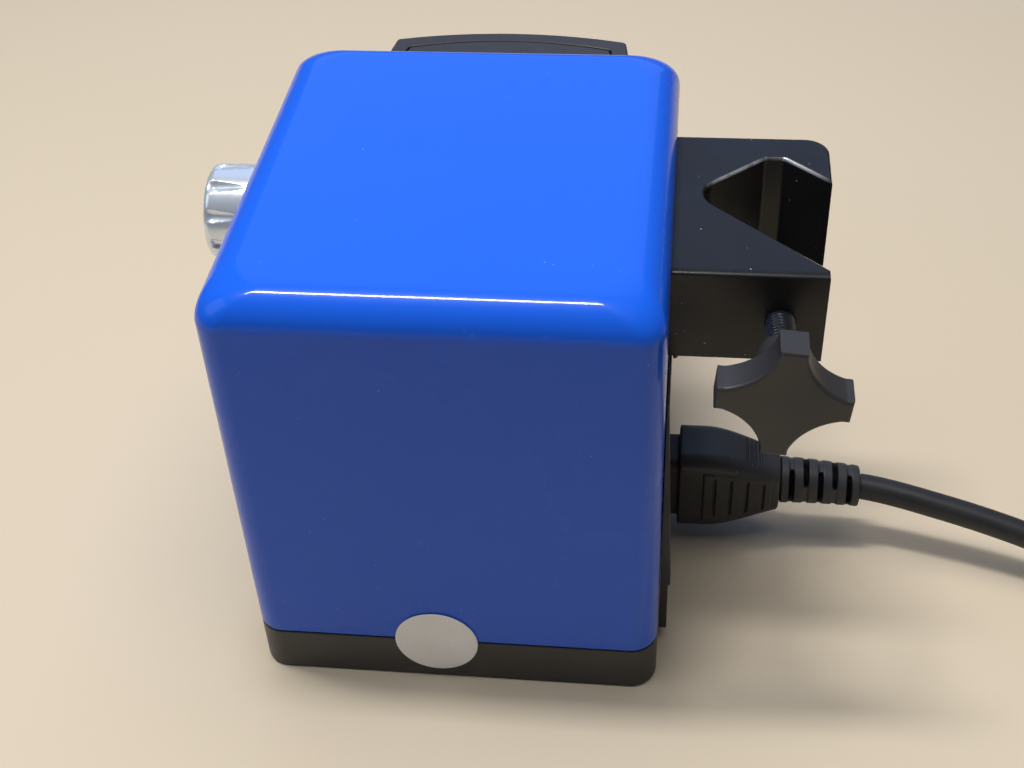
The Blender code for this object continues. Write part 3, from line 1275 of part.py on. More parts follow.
def build_speed_control():
    """The fluted speed knob with its grub screw, and the potentiometer with shaft and nut."""
    axis = joint_axis("speed_axis", (0.0, KNOB_Y, KNOB_Z))
    sections = [knob_ring(0.0, KNOB_RADIUS - KNOB_EDGE)]
    for step in range(1, 4):
        turn = math.pi / 2 * step / 3
        sections.append(knob_ring(KNOB_EDGE * (1 - math.cos(turn)), KNOB_RADIUS - KNOB_EDGE * (1 - math.sin(turn))))
    for along in (KNOB_FLUTE_LENGTH / 2, KNOB_FLUTE_LENGTH, KNOB_LENGTH):
        sections.append(knob_ring(along, KNOB_RADIUS))
    knob = loft("speed_knob", sections, "satin_aluminium")
    recess = rods("knob_recess", [((KNOB_BACK - KNOB_RECESS_DEPTH, 0.0, 0.0), 2 * KNOB_RECESS_DEPTH)],
                  KNOB_RECESS_RADIUS, "X")
    bore = rods("knob_bore", [((KNOB_BACK - KNOB_BORE_DEPTH, 0.0, 0.0), KNOB_BORE_DEPTH)],
                SHAFT_RADIUS + GAP, "X")
    grub_x = KNOB_BACK - (KNOB_RECESS_DEPTH + KNOB_BORE_DEPTH) / 2
    grub_z = -SHAFT_RADIUS - 2 * GAP - GRUB_LENGTH
    grub_bore = rods("grub_bore", [((grub_x, 0.0, -KNOB_RADIUS - GAP), KNOB_RADIUS)], GRUB_RADIUS + GAP, "Z", None, 12)
    cut(knob, recess, bore, grub_bore)
    smooth(knob, 30.0)
    grub = rods("knob_grub_screw", [((grub_x, 0.0, grub_z), GRUB_LENGTH)], GRUB_RADIUS, "Z", "steel", 12)
    shaft_end = KNOB_BACK - KNOB_BORE_DEPTH + GAP
    shaft_root = -WALL_X + COVER_WALL + SHAFT_ROOT
    shaft = rods("speed_shaft", [((shaft_end, 0.0, 0.0), shaft_root - shaft_end)], SHAFT_RADIUS, "X", "steel")
    carry(axis, knob, recess, bore, grub_bore, grub, shaft)

    face = COVER_WALL + GAP
    hollow = SHAFT_RADIUS + GAP
    pot = turned("potentiometer", [
        (hollow, BUSH_PROUD),
        (BUSH_RADIUS, BUSH_PROUD),
        (BUSH_RADIUS, -face),
        (POT_RADIUS, -face),
        (POT_RADIUS, -face - POT_LENGTH),
        (0.0, -face - POT_LENGTH),
        (0.0, -COVER_WALL - SHAFT_ROOT - GAP),
        (hollow, -COVER_WALL - SHAFT_ROOT - GAP),
        (hollow, BUSH_PROUD),
    ], "steel")
    pot.location = (-WALL_X, KNOB_Y, KNOB_Z)
    pot.rotation_euler.y = -math.pi / 2
    nut = rods("potentiometer_nut", [((-WALL_X - GAP - NUT_THICKNESS, KNOB_Y, KNOB_Z), NUT_THICKNESS)],
               NUT_ACROSS / math.sqrt(3), "X", "steel", 6)
    cut(nut, rods("nut_bore", [((-WALL_X - 2 * NUT_THICKNESS, KNOB_Y, KNOB_Z), 2 * NUT_THICKNESS)],
                  BUSH_RADIUS + GAP, "X"))


def head_outline(inset, back_inset=0.0):
    """The head's plan, drawn in by an inset: straight sides, square shoulders and a bowed end."""
    root_y = HEAD_FACE + back_inset
    end_y = HEAD_END - HEAD_BOW - inset
    lean = (HEAD_ROOT_WIDTH - HEAD_END_WIDTH) / 2 / (HEAD_END - HEAD_BOW - HEAD_FACE)
    half_root = HEAD_ROOT_WIDTH / 2 - inset - lean * back_inset
    half_end = HEAD_ROOT_WIDTH / 2 - inset - lean * (end_y - HEAD_FACE)
    corners = [
        (HEAD_X - half_root, root_y, 0.0),
        (HEAD_X + half_root, root_y, 0.0),
        (HEAD_X + half_end, end_y, HEAD_CORNER),
    ]
    for step in range(1, HEAD_BOW_STEPS):
        share = 1 - 2 * step / HEAD_BOW_STEPS
        corners.append((HEAD_X + half_end * share, end_y + HEAD_BOW * (1 - share * share), 0.0))
    corners.append((HEAD_X - half_end, end_y, HEAD_CORNER))
    return rounded_outline(corners, 4)


def build_head():
    """The black head on the far wall: housing, inset top panel, bolts and lead grommet."""
    recess_floor = HEAD_TOP - TOP_PANEL_THICKNESS - GAP
    rim_floor = HEAD_TOP - HEAD_RIM
    housing = plate("head_housing", head_outline(0.0), HEAD_LOW, HEAD_TOP, "black_moulding")
    recess = head_outline(HEAD_BORDER, HEAD_BORDER)
    mouth = head_outline(HEAD_BORDER + HEAD_LEDGE, HEAD_BORDER + HEAD_LEDGE)
    before = HEAD_FACE - HEAD_BACK
    cut(
        housing,
        plate("head_hollow", head_outline(HEAD_WALL, HEAD_BACK), HEAD_FLOOR, rim_floor),
        plate("head_mouth", mouth, rim_floor - HEAD_WALL, HEAD_TOP),
        plate("head_recess", recess, recess_floor, HEAD_TOP + HEAD_WALL),
        rods("head_bolt_bores", [((x, before, z), HEAD_BACK + HEAD_BOLT_BITE + GAP) for x, z in HEAD_BOLT_PLACES],
             HEAD_BOLT_RADIUS + GAP, "Y"),
        rods("head_lead_hole", [((0.0, before, GROMMET_Z), 3 * HEAD_BACK)], GROMMET_RADIUS + GAP, "Y"),
    )
    smooth(housing)
    inset = HEAD_BORDER + GROOVE_WIDTH
    panel = plate("head_top_panel", head_outline(inset, inset), HEAD_TOP - TOP_PANEL_THICKNESS, HEAD_TOP,
                  "black_moulding")
    cut(panel, rods("cup_hole", [((0.0, DRIVE_Y, recess_floor), 2 * TOP_PANEL_THICKNESS)],
                    CUP_HOLE_RADIUS, "Z", None, 32))
    inside = WALL_Y - COVER_WALL - GAP
    tip = HEAD_BOLT_HEAD_HEIGHT + GAP + COVER_WALL + GAP + HEAD_BOLT_BITE
    screws("head_bolt", [(x, inside - HEAD_BOLT_HEAD_HEIGHT, z) for x, z in HEAD_BOLT_PLACES],
           headed(HEAD_BOLT_HEAD, HEAD_BOLT_HEAD_HEIGHT, HEAD_BOLT_RADIUS, tip), "Y", "steel")
    end = COVER_WALL + 2 * GAP + HEAD_BACK
    grommet = turned("lead_grommet", closed([
        (GROMMET_BORE, end),
        (GROMMET_RADIUS, end),
        (GROMMET_RADIUS, -GAP),
        (GROMMET_FLANGE, -GAP),
        (GROMMET_FLANGE, -GAP - GROMMET_FLANGE_THICKNESS),
        (GROMMET_BORE, -GAP - GROMMET_FLANGE_THICKNESS),
    ]), "black_rubber", 20)
    grommet.location = (0.0, WALL_Y - COVER_WALL, GROMMET_Z)
    grommet.rotation_euler.x = -math.pi / 2


def build_motor():
    """The drive motor hung under an arched bracket that stands on the head's floor."""
    top = MOTOR_PLATE_LEVEL - GAP
    motor = turned("drive_motor", [
        (0.0, 0.0),
        (MOTOR_RADIUS - MOTOR_EDGE, 0.0),
        (MOTOR_RADIUS, -MOTOR_EDGE),
        (MOTOR_RADIUS, MOTOR_EDGE - MOTOR_LENGTH),
        (MOTOR_RADIUS - MOTOR_EDGE, -MOTOR_LENGTH),
        (0.0, -MOTOR_LENGTH),
    ], "steel", 32)
    motor.location = (0.0, DRIVE_Y, top)
    screw_places = [(side * MOTOR_SCREW_PITCH / 2, DRIVE_Y) for side in (-1, 1)]
    plate_top = MOTOR_PLATE_LEVEL + MOTOR_PLATE_THICKNESS
    deep = top - MOTOR_SCREW_BITE - GAP
    through = 2 * MOTOR_PLATE_THICKNESS
    cut(motor, rods("motor_taps", [((x, y, deep), MOTOR_SCREW_BITE + 2 * GAP) for x, y in screw_places],
                    MOTOR_SCREW_RADIUS + GAP, "Z", None, 16),
        rods("motor_shaft_bore", [((0.0, DRIVE_Y, top - MOTOR_PLATE_THICKNESS - GAP), through)],
             MOTOR_SHAFT_RADIUS + GAP, "Z", None, 16))
    smooth(motor)
    half = MOTOR_BRACKET_WIDTH / 2
    inner = half - MOTOR_PLATE_THICKNESS
    foot = HEAD_FLOOR + GAP
    arch = [
        (-half, foot), (-half, plate_top), (half, plate_top), (half, foot),
        (inner, foot), (inner, MOTOR_PLATE_LEVEL), (-inner, MOTOR_PLATE_LEVEL), (-inner, foot),
    ]
    ends = (DRIVE_Y - MOTOR_BRACKET_NEAR, DRIVE_Y + MOTOR_BRACKET_FAR)
    bracket = loft("motor_bracket", [across_y(arch, y) for y in ends], "steel")
    below = MOTOR_PLATE_LEVEL - MOTOR_PLATE_THICKNESS / 2
    cut(bracket, rods("bracket_holes", [((x, y, below), through) for x, y in screw_places],
                      MOTOR_SCREW_RADIUS + GAP, "Z", None, 16),
        rods("bracket_shaft_hole", [((0.0, DRIVE_Y, below), through)], 2 * MOTOR_SHAFT_RADIUS, "Z", None, 16))
    head_top = plate_top + GAP + MOTOR_SCREW_HEAD_HEIGHT
    tip = top - MOTOR_SCREW_BITE
    screws("motor_screw", [(x, y, tip) for x, y in screw_places], [
        (MOTOR_SCREW_RADIUS, 0.0),
        (MOTOR_SCREW_RADIUS, plate_top + GAP - tip),
        (MOTOR_SCREW_HEAD, plate_top + GAP - tip),
        (MOTOR_SCREW_HEAD, head_top - tip),
    ], "Z", "steel")


def crank_outline():
    """A round hub with a counterweight sector on the side away from the pin."""
    outline = []
    for step in range(ROUND_STEPS):
        turn = 2 * math.pi * step / ROUND_STEPS
        away = abs(turn - math.pi) <= math.radians(CRANK_WEIGHT_ANGLE)
        radius = CRANK_WEIGHT_RADIUS if away else CRANK_HUB_RADIUS
        outline.append(Vector((radius * math.cos(turn), radius * math.sin(turn))))
    return outline


def build_drive():
    """The shaft and eccentric that turn together, and the cup with its holder that only orbits."""
    drive = joint_axis("drive_axis", (0.0, DRIVE_Y, 0.0))
    shaft_low = MOTOR_PLATE_LEVEL - MOTOR_PLATE_THICKNESS
    shaft_high = PIN_LEVEL - CRANK_HEIGHT / 3
    shaft = rods("motor_shaft", [((0.0, 0.0, shaft_low), shaft_high - shaft_low)], MOTOR_SHAFT_RADIUS, "Z", "steel", 16)
    crank = plate("eccentric_crank", crank_outline(), CRANK_LEVEL, PIN_LEVEL, "brass")
    pin = rods("crank_pin", [((ORBIT, 0.0, PIN_LEVEL - CRANK_HEIGHT / 4), CRANK_PIN_LENGTH + CRANK_HEIGHT / 4)],
               CRANK_PIN_RADIUS, "Z")
    bore = rods("crank_bore", [((0.0, 0.0, CRANK_LEVEL - GAP), shaft_high - CRANK_LEVEL + 2 * GAP)],
                MOTOR_SHAFT_RADIUS + GAP, "Z", None, 16)
    fuse(crank, pin)
    cut(crank, bore)
    carry(drive, shaft, crank, pin, bore)

    cup_axis = joint_axis("cup_axis", (ORBIT, DRIVE_Y, 0.0))
    race = BEARING_RADIUS + GAP
    bearing = turned("cup_bearing", closed([
        (CRANK_PIN_RADIUS + GAP, BEARING_LEVEL + BEARING_WIDTH),
        (BEARING_RADIUS, BEARING_LEVEL + BEARING_WIDTH),
        (BEARING_RADIUS, BEARING_LEVEL),
        (CRANK_PIN_RADIUS + GAP, BEARING_LEVEL),
    ]), "steel")
    ceiling = HOLDER_TOP - HOLDER_TOP_WALL
    seat = BEARING_LEVEL + BEARING_WIDTH + GAP
    neck = CRANK_PIN_RADIUS + 2 * GAP
    holder = turned("cup_holder", [
        (0.0, HOLDER_TOP + HOLDER_SPIGOT_HEIGHT),
        (HOLDER_SPIGOT_RADIUS, HOLDER_TOP + HOLDER_SPIGOT_HEIGHT),
        (HOLDER_SPIGOT_RADIUS, HOLDER_TOP),
        (HOLDER_RADIUS, HOLDER_TOP),
        (HOLDER_RADIUS, HOLDER_LEVEL),
        (race, HOLDER_LEVEL),
        (race, seat),
        (neck, seat),
        (neck, ceiling),
        (0.0, ceiling),
    ], "black_moulding")
    arm_low = HOLDER_TOP - GUIDE_ARM_HEIGHT
    arm = boxes("guide_arm", [(
        (-GUIDE_ARM_WIDTH / 2, (race + HOLDER_RADIUS) / 2, arm_low),
        (GUIDE_ARM_WIDTH / 2, GUIDE_ARM_REACH, HOLDER_TOP),
    )])
    fuse(holder, arm)
    cup = turned("mixing_cup", cup_profile(), "black_rubber", 32)
    carry(cup_axis, bearing, holder, arm, cup)
    build_fork(arm_low)


def cup_profile():
    """The rubber cup's section: a funnel in a stem under a broad rim."""
    socket = HOLDER_SPIGOT_RADIUS + GAP
    socket_top = HOLDER_TOP + HOLDER_SPIGOT_HEIGHT + GAP
    floor = socket_top + CUP_FLOOR
    round_off = CUP_FLANGE_THICKNESS / 4
    return [
        (0.0, floor),
        (CUP_FLOOR_RADIUS, floor + round_off),
        (CUP_MOUTH_RADIUS, CUP_RIM),
        (CUP_FLANGE_RADIUS - round_off, CUP_RIM),
        (CUP_FLANGE_RADIUS, CUP_RIM - round_off),
        (CUP_FLANGE_RADIUS, CUP_FLANGE_LEVEL),
        (CUP_STEM_RADIUS, CUP_FLANGE_LEVEL),
        (CUP_STEM_RADIUS, CUP_LEVEL),
        (socket, CUP_LEVEL),
        (socket, socket_top),
        (0.0, socket_top),
    ]


def build_fork(arm_low):
    """The fork on the motor bracket whose two prongs keep the cup holder's arm from turning."""
    low = MOTOR_PLATE_LEVEL + MOTOR_PLATE_THICKNESS + GAP
    high = arm_low + GUIDE_ARM_HEIGHT
    half = FORK_SLOT / 2 + FORK_WALL
    near = DRIVE_Y + GUIDE_ARM_REACH - FORK_DEPTH - ORBIT
    far = near + FORK_DEPTH
    fork = boxes("guide_fork", [((-half, near, low), (half, far, high))], "black_moulding")
    slot_low = arm_low - SLIDE_FIT - GUIDE_PLAY
    cut(fork, boxes("fork_slot", [(
        (-FORK_SLOT / 2, near - FORK_WALL, slot_low),
        (FORK_SLOT / 2, far + FORK_WALL, high + FORK_WALL),
    )]))


def build_electrics():
    """The ballast plate, transformer and control board inside the cover."""
    plate("ballast_plate", rectangle(BALLAST_WIDTH, BALLAST_DEPTH, LIP_WALL, (BALLAST_X, 0.0)),
          BALLAST_LEVEL, BALLAST_TOP, "steel")
    low = BALLAST_TOP + GAP
    near = CORE_Y - CORE_STACK / 2
    far = CORE_Y + CORE_STACK / 2
    core = boxes("transformer_core", [(
        (BALLAST_X - CORE_WIDTH / 2, near, low),
        (BALLAST_X + CORE_WIDTH / 2, far, low + CORE_HEIGHT),
    )], "steel")
    side = (CORE_WIDTH - 2 * CORE_LEG) / 4
    window_low = low + (CORE_HEIGHT - CORE_WINDOW_HEIGHT) / 2
    windows = []
    for sense in (-1, 1):
        middle = BALLAST_X + sense * (CORE_LEG / 2 + side)
        windows.append((
            (middle - side, near - CORE_LEG, window_low),
            (middle + side, far + CORE_LEG, window_low + CORE_WINDOW_HEIGHT),
        ))
    cut(core, boxes("core_windows", windows))
    leg = CORE_LEG / 2 + GAP
    coil_half = leg + WINDING_THICKNESS
    coil = boxes("transformer_winding", [(
        (BALLAST_X - coil_half, near - GAP - WINDING_THICKNESS, window_low + GAP),
        (BALLAST_X + coil_half, far + GAP + WINDING_THICKNESS, window_low + CORE_WINDOW_HEIGHT - GAP),
    )], "copper")
    cut(coil, boxes("winding_bore", [(
        (BALLAST_X - leg, near - GAP, window_low - CORE_LEG),
        (BALLAST_X + leg, far + GAP, window_low + CORE_WINDOW_HEIGHT + CORE_LEG),
    )]))

    plate("control_board", rectangle(BOARD_WIDTH, BOARD_DEPTH, LIP_WALL, (BALLAST_X, BOARD_Y)),
          BOARD_LEVEL, BOARD_TOP, "board")
    under = BOARD_LEVEL - GAP
    left = BALLAST_X - BOARD_WIDTH / 2
    right = BALLAST_X + BOARD_WIDTH / 2
    wall = BOARD_CARRIER_WALL
    arch = [
        (left, low), (left, under), (right, under), (right, low),
        (right - wall, low), (right - wall, under - wall), (left + wall, under - wall), (left + wall, low),
    ]
    ends = (BOARD_Y - BOARD_DEPTH / 2, BOARD_Y + BOARD_DEPTH / 2)
    loft("board_carrier", [across_y(arch, y) for y in ends], "black_moulding")
    seat = BOARD_TOP + GAP
    rods("smoothing_capacitor", [((BALLAST_X + CAPACITOR_X, BOARD_Y, seat), CAPACITOR_HEIGHT)],
         CAPACITOR_RADIUS, "Z", "black_moulding", 20)
    build_heat_sink(seat)


def build_heat_sink(seat):
    """The finned heat sink on the control board."""
    start = BALLAST_X + SINK_X
    outline = [(start, 0.0), (start, SINK_WIDTH)]
    pitch = (SINK_WIDTH - SINK_FIN) / (SINK_FINS - 1)
    back = start + SINK_BASE
    for fin in reversed(range(SINK_FINS)):
        low = fin * pitch
        outline += [(back + SINK_FIN_REACH, low + SINK_FIN), (back + SINK_FIN_REACH, low)]
        if fin > 0:
            outline += [(back, low), (back, low - pitch + SINK_FIN)]
    shift = BOARD_Y - SINK_WIDTH / 2
    outline = [(x, y + shift) for x, y in outline]
    plate("heat_sink", outline, seat, seat + SINK_HEIGHT, "satin_aluminium")


build_cover()
build_base()
build_seal()
build_rear_panel()
build_inlet()
build_connector()
build_cord()
build_switch()
build_fuse()
build_clamp()
build_speed_control()
build_head()
build_motor()
build_drive()
build_electrics()
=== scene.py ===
"""Dresses the solids of a bench vortex mixer with fine surfaces and finishes, and lights it on a pale floor.

Every length is in metres, in the frame of the solids: X right, Y away from the camera, Z up, with
the origin under the middle of the sole. Surfaces are computed as whole arrays of points.
"""

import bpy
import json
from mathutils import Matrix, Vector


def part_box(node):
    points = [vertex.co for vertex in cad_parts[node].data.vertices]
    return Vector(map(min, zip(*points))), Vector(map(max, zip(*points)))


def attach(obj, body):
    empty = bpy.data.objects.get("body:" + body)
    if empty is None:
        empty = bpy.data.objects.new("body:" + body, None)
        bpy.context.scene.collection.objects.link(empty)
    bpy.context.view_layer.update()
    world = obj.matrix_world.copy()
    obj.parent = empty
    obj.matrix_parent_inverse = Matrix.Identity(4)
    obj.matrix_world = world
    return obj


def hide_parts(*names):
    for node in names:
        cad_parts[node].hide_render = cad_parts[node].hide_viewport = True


bl_info = {
    "name": "Bench vortex mixer",
    "version": (1, 0, 0),
    "blender": (4, 5, 0),
    "location": "View3D > Sidebar > Mixer",
    "description": "Fine surfaces and finishes for the solids of a bench vortex mixer",
    "category": "Add Mesh",
}

import json
import math

import bmesh
import bpy
import numpy as np
from bpy.props import FloatProperty, FloatVectorProperty, IntProperty, PointerProperty
from bpy.types import Operator, Panel, PropertyGroup
from mathutils import Matrix, Vector

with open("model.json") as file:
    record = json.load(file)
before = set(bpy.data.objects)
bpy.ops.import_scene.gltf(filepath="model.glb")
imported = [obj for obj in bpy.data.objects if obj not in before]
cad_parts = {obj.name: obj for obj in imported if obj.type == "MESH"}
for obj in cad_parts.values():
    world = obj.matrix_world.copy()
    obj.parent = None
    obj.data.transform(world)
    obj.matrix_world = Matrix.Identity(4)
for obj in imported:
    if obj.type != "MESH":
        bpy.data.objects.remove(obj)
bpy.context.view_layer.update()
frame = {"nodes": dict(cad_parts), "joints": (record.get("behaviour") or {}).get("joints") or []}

MM = 0.001
GAP = 0.3 * MM
WELD = 0.002 * MM

# Clamp outline, measured from the block's corner at the case and its near jaw
JAW_REACH = 41.3 * MM
JAW_TIP = 3.0 * MM
NOTCH_APEX = (4.5 * MM, 38.2 * MM)
NOTCH_APEX_RADIUS = 7.3 * MM
NOTCH_SEAT = (28.2 * MM, 56.9 * MM)
NOTCH_SEAT_FLAT = 5.6 * MM
NOTCH_LIP = 44.9 * MM
CLAMP_CORNER = 7.0 * MM
JAW_EDGE = 2.6 * MM
CLAMP_DRAFT = 0.9 * MM

# Star grip, four lobes joined by hollow arcs
STAR_THICKNESS = 9.9 * MM
STAR_LOBE_WIDTH = 7.2 * MM
STAR_LOBE_ROOT = 15.3 * MM
STAR_WAIST = 11.2 * MM
STAR_RADIUS = 17.3 * MM
STAR_TURN = math.radians(5.0)
STAR_HUB = (8.6 * MM, 6.0 * MM)

# Head plan
HEAD_X = -1.1 * MM
HEAD_ROOT_WIDTH = 102.0 * MM
HEAD_END_WIDTH = 83.4 * MM
HEAD_BOW = 5.4 * MM
HEAD_CORNER = 1.5 * MM
HEAD_BORDER = 6.0 * MM
HEAD_LEDGE = 3.0 * MM
HEAD_WALL = 3.0 * MM
HEAD_BACK = 5.0 * MM
HEAD_RIM = 9.0 * MM

# Cord, its route on the bench and its coil
CORD_EXIT = (0.1236, 0.0013, 0.0215)
CORD_LEAD_IN = (0.0989, 0.0011, 0.0219)
ROUTE = (
    (0.1489, -0.0042, 0.0194),
    (0.1749, -0.0120, 0.0164),
    (0.1999, -0.0217, 0.0124),
    (0.2249, -0.0317, 0.0082),
)
COIL_CENTRE = (0.261, 0.021)
COIL_TURNS = 5.25
COIL_PITCH = 9.0 * MM
COIL_MID_RADIUS = 47.0 * MM
COIL_LOW = 5.8 * MM
COIL_TAIL = 46.0 * MM
PLUG_REST = 12.3 * MM
TIE_ANGLE = math.radians(80.0)
SLOT_HALF_WIDTH = 0.85 * MM


def length(name, description, default):
    """A size property in metres."""
    return FloatProperty(name=name, description=description, default=default, min=0.0, precision=5, unit="LENGTH")


def tint(name, description, default):
    """A colour property in linear light."""
    return FloatVectorProperty(
        name=name, description=description, default=default, min=0.0, max=1.0, size=3, subtype="COLOR"
    )


def angle(name, description, degrees):
    """An angle property, given in degrees."""
    return FloatProperty(name=name, description=description, default=math.radians(degrees), subtype="ANGLE")


class MixerSizes(PropertyGroup):
    """Sizes of the fine surfaces."""
    cover_wall: length("Cover wall", "Thickness of the painted shell", 2.5 * MM)
    cover_corner: length("Cover corner", "Radius of the upright corners", 8.0 * MM)
    cover_brow: length("Cover brow", "Radius of the edge round the top", 10.5 * MM)
    moulding_edge: length("Moulding edge", "Radius of the edges of the moulded parts", 0.5 * MM)
    clamp_edge: length("Clamp edge", "Radius of the clamp block's rims", 1.0 * MM)
    star_edge: length("Star edge", "Radius of the star grip's edges", 1.1 * MM)
    thread_pitch: length("Thread pitch", "Travel of the clamp screw in one turn", 1.25 * MM)
    thread_depth: length("Thread depth", "Depth of the clamp screw's thread", 0.75 * MM)
    knob_flutes: IntProperty(name="Knob flutes", description="Leaf shaped flutes round the speed knob", default=10)
    flute_depth: length("Flute depth", "Depth of the speed knob's flutes at its front", 1.5 * MM)
    flute_length: length("Flute length", "Length of the speed knob's flutes", 13.0 * MM)
    knob_edge: length("Knob edge", "Radius of the speed knob's front edge", 2.4 * MM)
    cord_diameter: length("Cord diameter", "Outer diameter of the mains cord", 8.4 * MM)
    grip_relief: length("Grip relief", "Height of the connector's grip bars", 0.55 * MM)


class MixerColours(PropertyGroup):
    """Colours of the finishes, in linear light."""
    paint: tint("Paint", "Gloss paint of the cover", (0.0095, 0.105, 0.70))
    moulding: tint("Moulding", "Black moulded plastic", (0.028, 0.027, 0.028))
    casting: tint("Casting", "Black painted clamp block", (0.008, 0.008, 0.009))
    # Partly worn paint on the notch rim, partly a painted highlight there.
    worn_and_highlight: tint("Worn edge", "Rubbed rims of the clamp block", (0.22, 0.23, 0.25))
    grip: tint("Grip", "Satin black plastic of the star grip", (0.026, 0.025, 0.026))
    rubber: tint("Rubber", "Black rubber and cord sheath", (0.017, 0.017, 0.019))
    paper: tint("Paper", "White paper of the blank seal", (0.93, 0.93, 0.95))
    aluminium: tint("Aluminium", "Satin metal of the speed knob", (0.84, 0.91, 1.0))
    steel: tint("Steel", "Bright steel", (0.56, 0.57, 0.58))
    dark_steel: tint("Dark steel", "Blackened clamp screw", (0.16, 0.17, 0.19))
    brass: tint("Brass", "Pins and eccentric", (0.70, 0.52, 0.22))
    copper: tint("Copper", "Enamelled winding wire", (0.55, 0.22, 0.08))
    board: tint("Board", "Green circuit board", (0.03, 0.16, 0.06))
    glass: tint("Glass", "Fuse glass", (0.80, 0.85, 0.85))
    dust: tint("Dust", "Specks of dust on the top faces", (0.55, 0.60, 0.68))


class MixerStudio(PropertyGroup):
    """The camera, the floor and the lamps."""
    eye: FloatVectorProperty(
        name="Eye", description="Place of the camera", default=(0.06218, -0.35111, 0.36748), subtype="TRANSLATION"
    )
    azimuth: angle("Azimuth", "Turn of the camera about Z, from looking along Y", 8.135)
    elevation: angle("Elevation", "Height of the camera over the horizon", 40.889)
    roll: angle("Roll", "Turn of the camera about its own axis", -2.986)
    lens: FloatProperty(name="Lens", description="Focal length on a 36 mm sensor", default=52.41, unit="CAMERA")
    floor: tint("Floor", "Plain pale floor", (0.60, 0.51, 0.385))
    sky: tint("Sky", "Dim light from all round", (0.75, 0.85, 1.0))
    sky_strength: FloatProperty(name="Sky strength", description="Level of the light from all round", default=0.08)
    lamp: tint("Lamp", "Colour of the overhead lamp", (1.0, 0.98, 0.95))
    lamp_power: FloatProperty(name="Lamp power", description="Overhead lamp", default=9.0, unit="POWER")
    lamp_size: length("Lamp size", "Length of the overhead lamp", 0.52)
    lamp_width: length("Lamp width", "Width of the overhead lamp", 0.10)
    lamp_height: length("Lamp height", "Height of the overhead lamp", 1.25)
    ceiling_power: FloatProperty(name="Ceiling power", description="Broad pale ceiling", default=13.0, unit="POWER")
    ceiling_size: length("Ceiling size", "Side of the broad ceiling", 1.1)
    window: tint("Window", "Colour of the window beyond", (0.40, 0.58, 1.0))
    window_power: FloatProperty(name="Window power", description="Broad window beyond", default=7.0, unit="POWER")
    window_size: length("Window size", "Side of the window", 1.8)
    side_window: tint("Side window", "Colour of the window at the left", (0.62, 0.80, 1.0))
    side_power: FloatProperty(name="Side power", description="Window at the left", default=2.2, unit="POWER")
    side_size: length("Side size", "Side of the window at the left", 0.8)


def sizes():
    """The scene's size properties."""
    return bpy.context.scene.mixer_sizes


def colours():
    """The scene's colour properties."""
    return bpy.context.scene.mixer_colours


def joint_point(name):
    """The point on this joint's axis, from the record."""
    for joint in frame["joints"]:
        if joint["name"] == name:
            return Vector(joint["pos_m"])
    raise ValueError(f"no joint named {name}")


# Surfaces

def ease(value, low, high):
    """Smooth step: 0 at low, 1 at high, with level ends."""
    share = np.clip((value - low) / (high - low), 0.0, 1.0)
    return share * share * (3.0 - 2.0 * share)


def window(value, low, high, soft):
    """1 between low and high, falling smoothly to 0 over the soft width on each side."""
    return ease(value, low - soft, low) * (1.0 - ease(value, high, high + soft))


def quarter(steps):
    """How far a rounded edge has drawn in and risen, as shares of its radius, over a quarter turn."""
    turn = np.linspace(0.0, math.pi / 2, steps + 1)
    return 1.0 - np.cos(turn), np.sin(turn)


def rounded_loop(arc_steps, side_steps=1):
    """The points of any rounded rectangle: corner signs in two columns and directions in two more.

    Four quarter arcs go round, each joined to the next by a straight side cut in equal steps.
    """
    rows = []
    for corner in range(4):
        start = corner * math.pi / 2
        turn = np.linspace(start, start + math.pi / 2, arc_steps + 1)
        sign = np.sign([math.cos(start + math.pi / 4), math.sin(start + math.pi / 4)])
        following = np.array([-sign[1], sign[0]])
        rows.append(np.column_stack((np.tile(sign, (len(turn), 1)), np.cos(turn), np.sin(turn))))
        share = np.linspace(0.0, 1.0, side_steps + 1)[1:-1, None]
        ahead = np.tile((math.cos(turn[-1]), math.sin(turn[-1])), (len(share), 1))
        rows.append(np.hstack((sign * (1.0 - share) + following * share, ahead)))
    return np.vstack(rows)


def rounded_rings(loop, half_u, half_v, radius):
    """Rings of rounded rectangles: each point is its corner centre plus the radius along its direction."""
    half_u, half_v, radius = (np.asarray(value, float).reshape(-1, 1) for value in (half_u, half_v, radius))
    u = (half_u - radius) * loop[:, 0] + radius * loop[:, 2]
    v = (half_v - radius) * loop[:, 1] + radius * loop[:, 3]
    return u, v


def turned_rings(profile, steps=64):
    """Rings of a turned shape: each (radius, along) pair of the profile goes round a full circle."""
    profile = np.asarray(profile, float)
    turn = np.linspace(0.0, 2 * math.pi, steps, endpoint=False)
    u = profile[:, :1] * np.cos(turn)
    v = profile[:, :1] * np.sin(turn)
    return u, v, np.repeat(profile[:, 1:2], steps, axis=1)


def drawn_in(corners, inset):
    """Corners of (u, v, radius) moved inwards along their mitres, with radii that still fit the sides."""
    here = corners[:, :2]
    ahead = np.roll(here, -1, axis=0) - here
    ahead /= np.linalg.norm(ahead, axis=1, keepdims=True)
    normal = np.column_stack((-ahead[:, 1], ahead[:, 0]))
    before = np.roll(normal, 1, axis=0)
    mitre = (normal + before) / (1.0 + np.sum(normal * before, axis=1, keepdims=True))
    turn = np.sign(before[:, 0] * normal[:, 1] - before[:, 1] * normal[:, 0])
    inset = np.broadcast_to(inset, len(corners))
    radius = np.maximum(corners[:, 2] - turn * inset, 0.005 * MM)
    return np.column_stack((here + mitre * inset[:, None], radius))


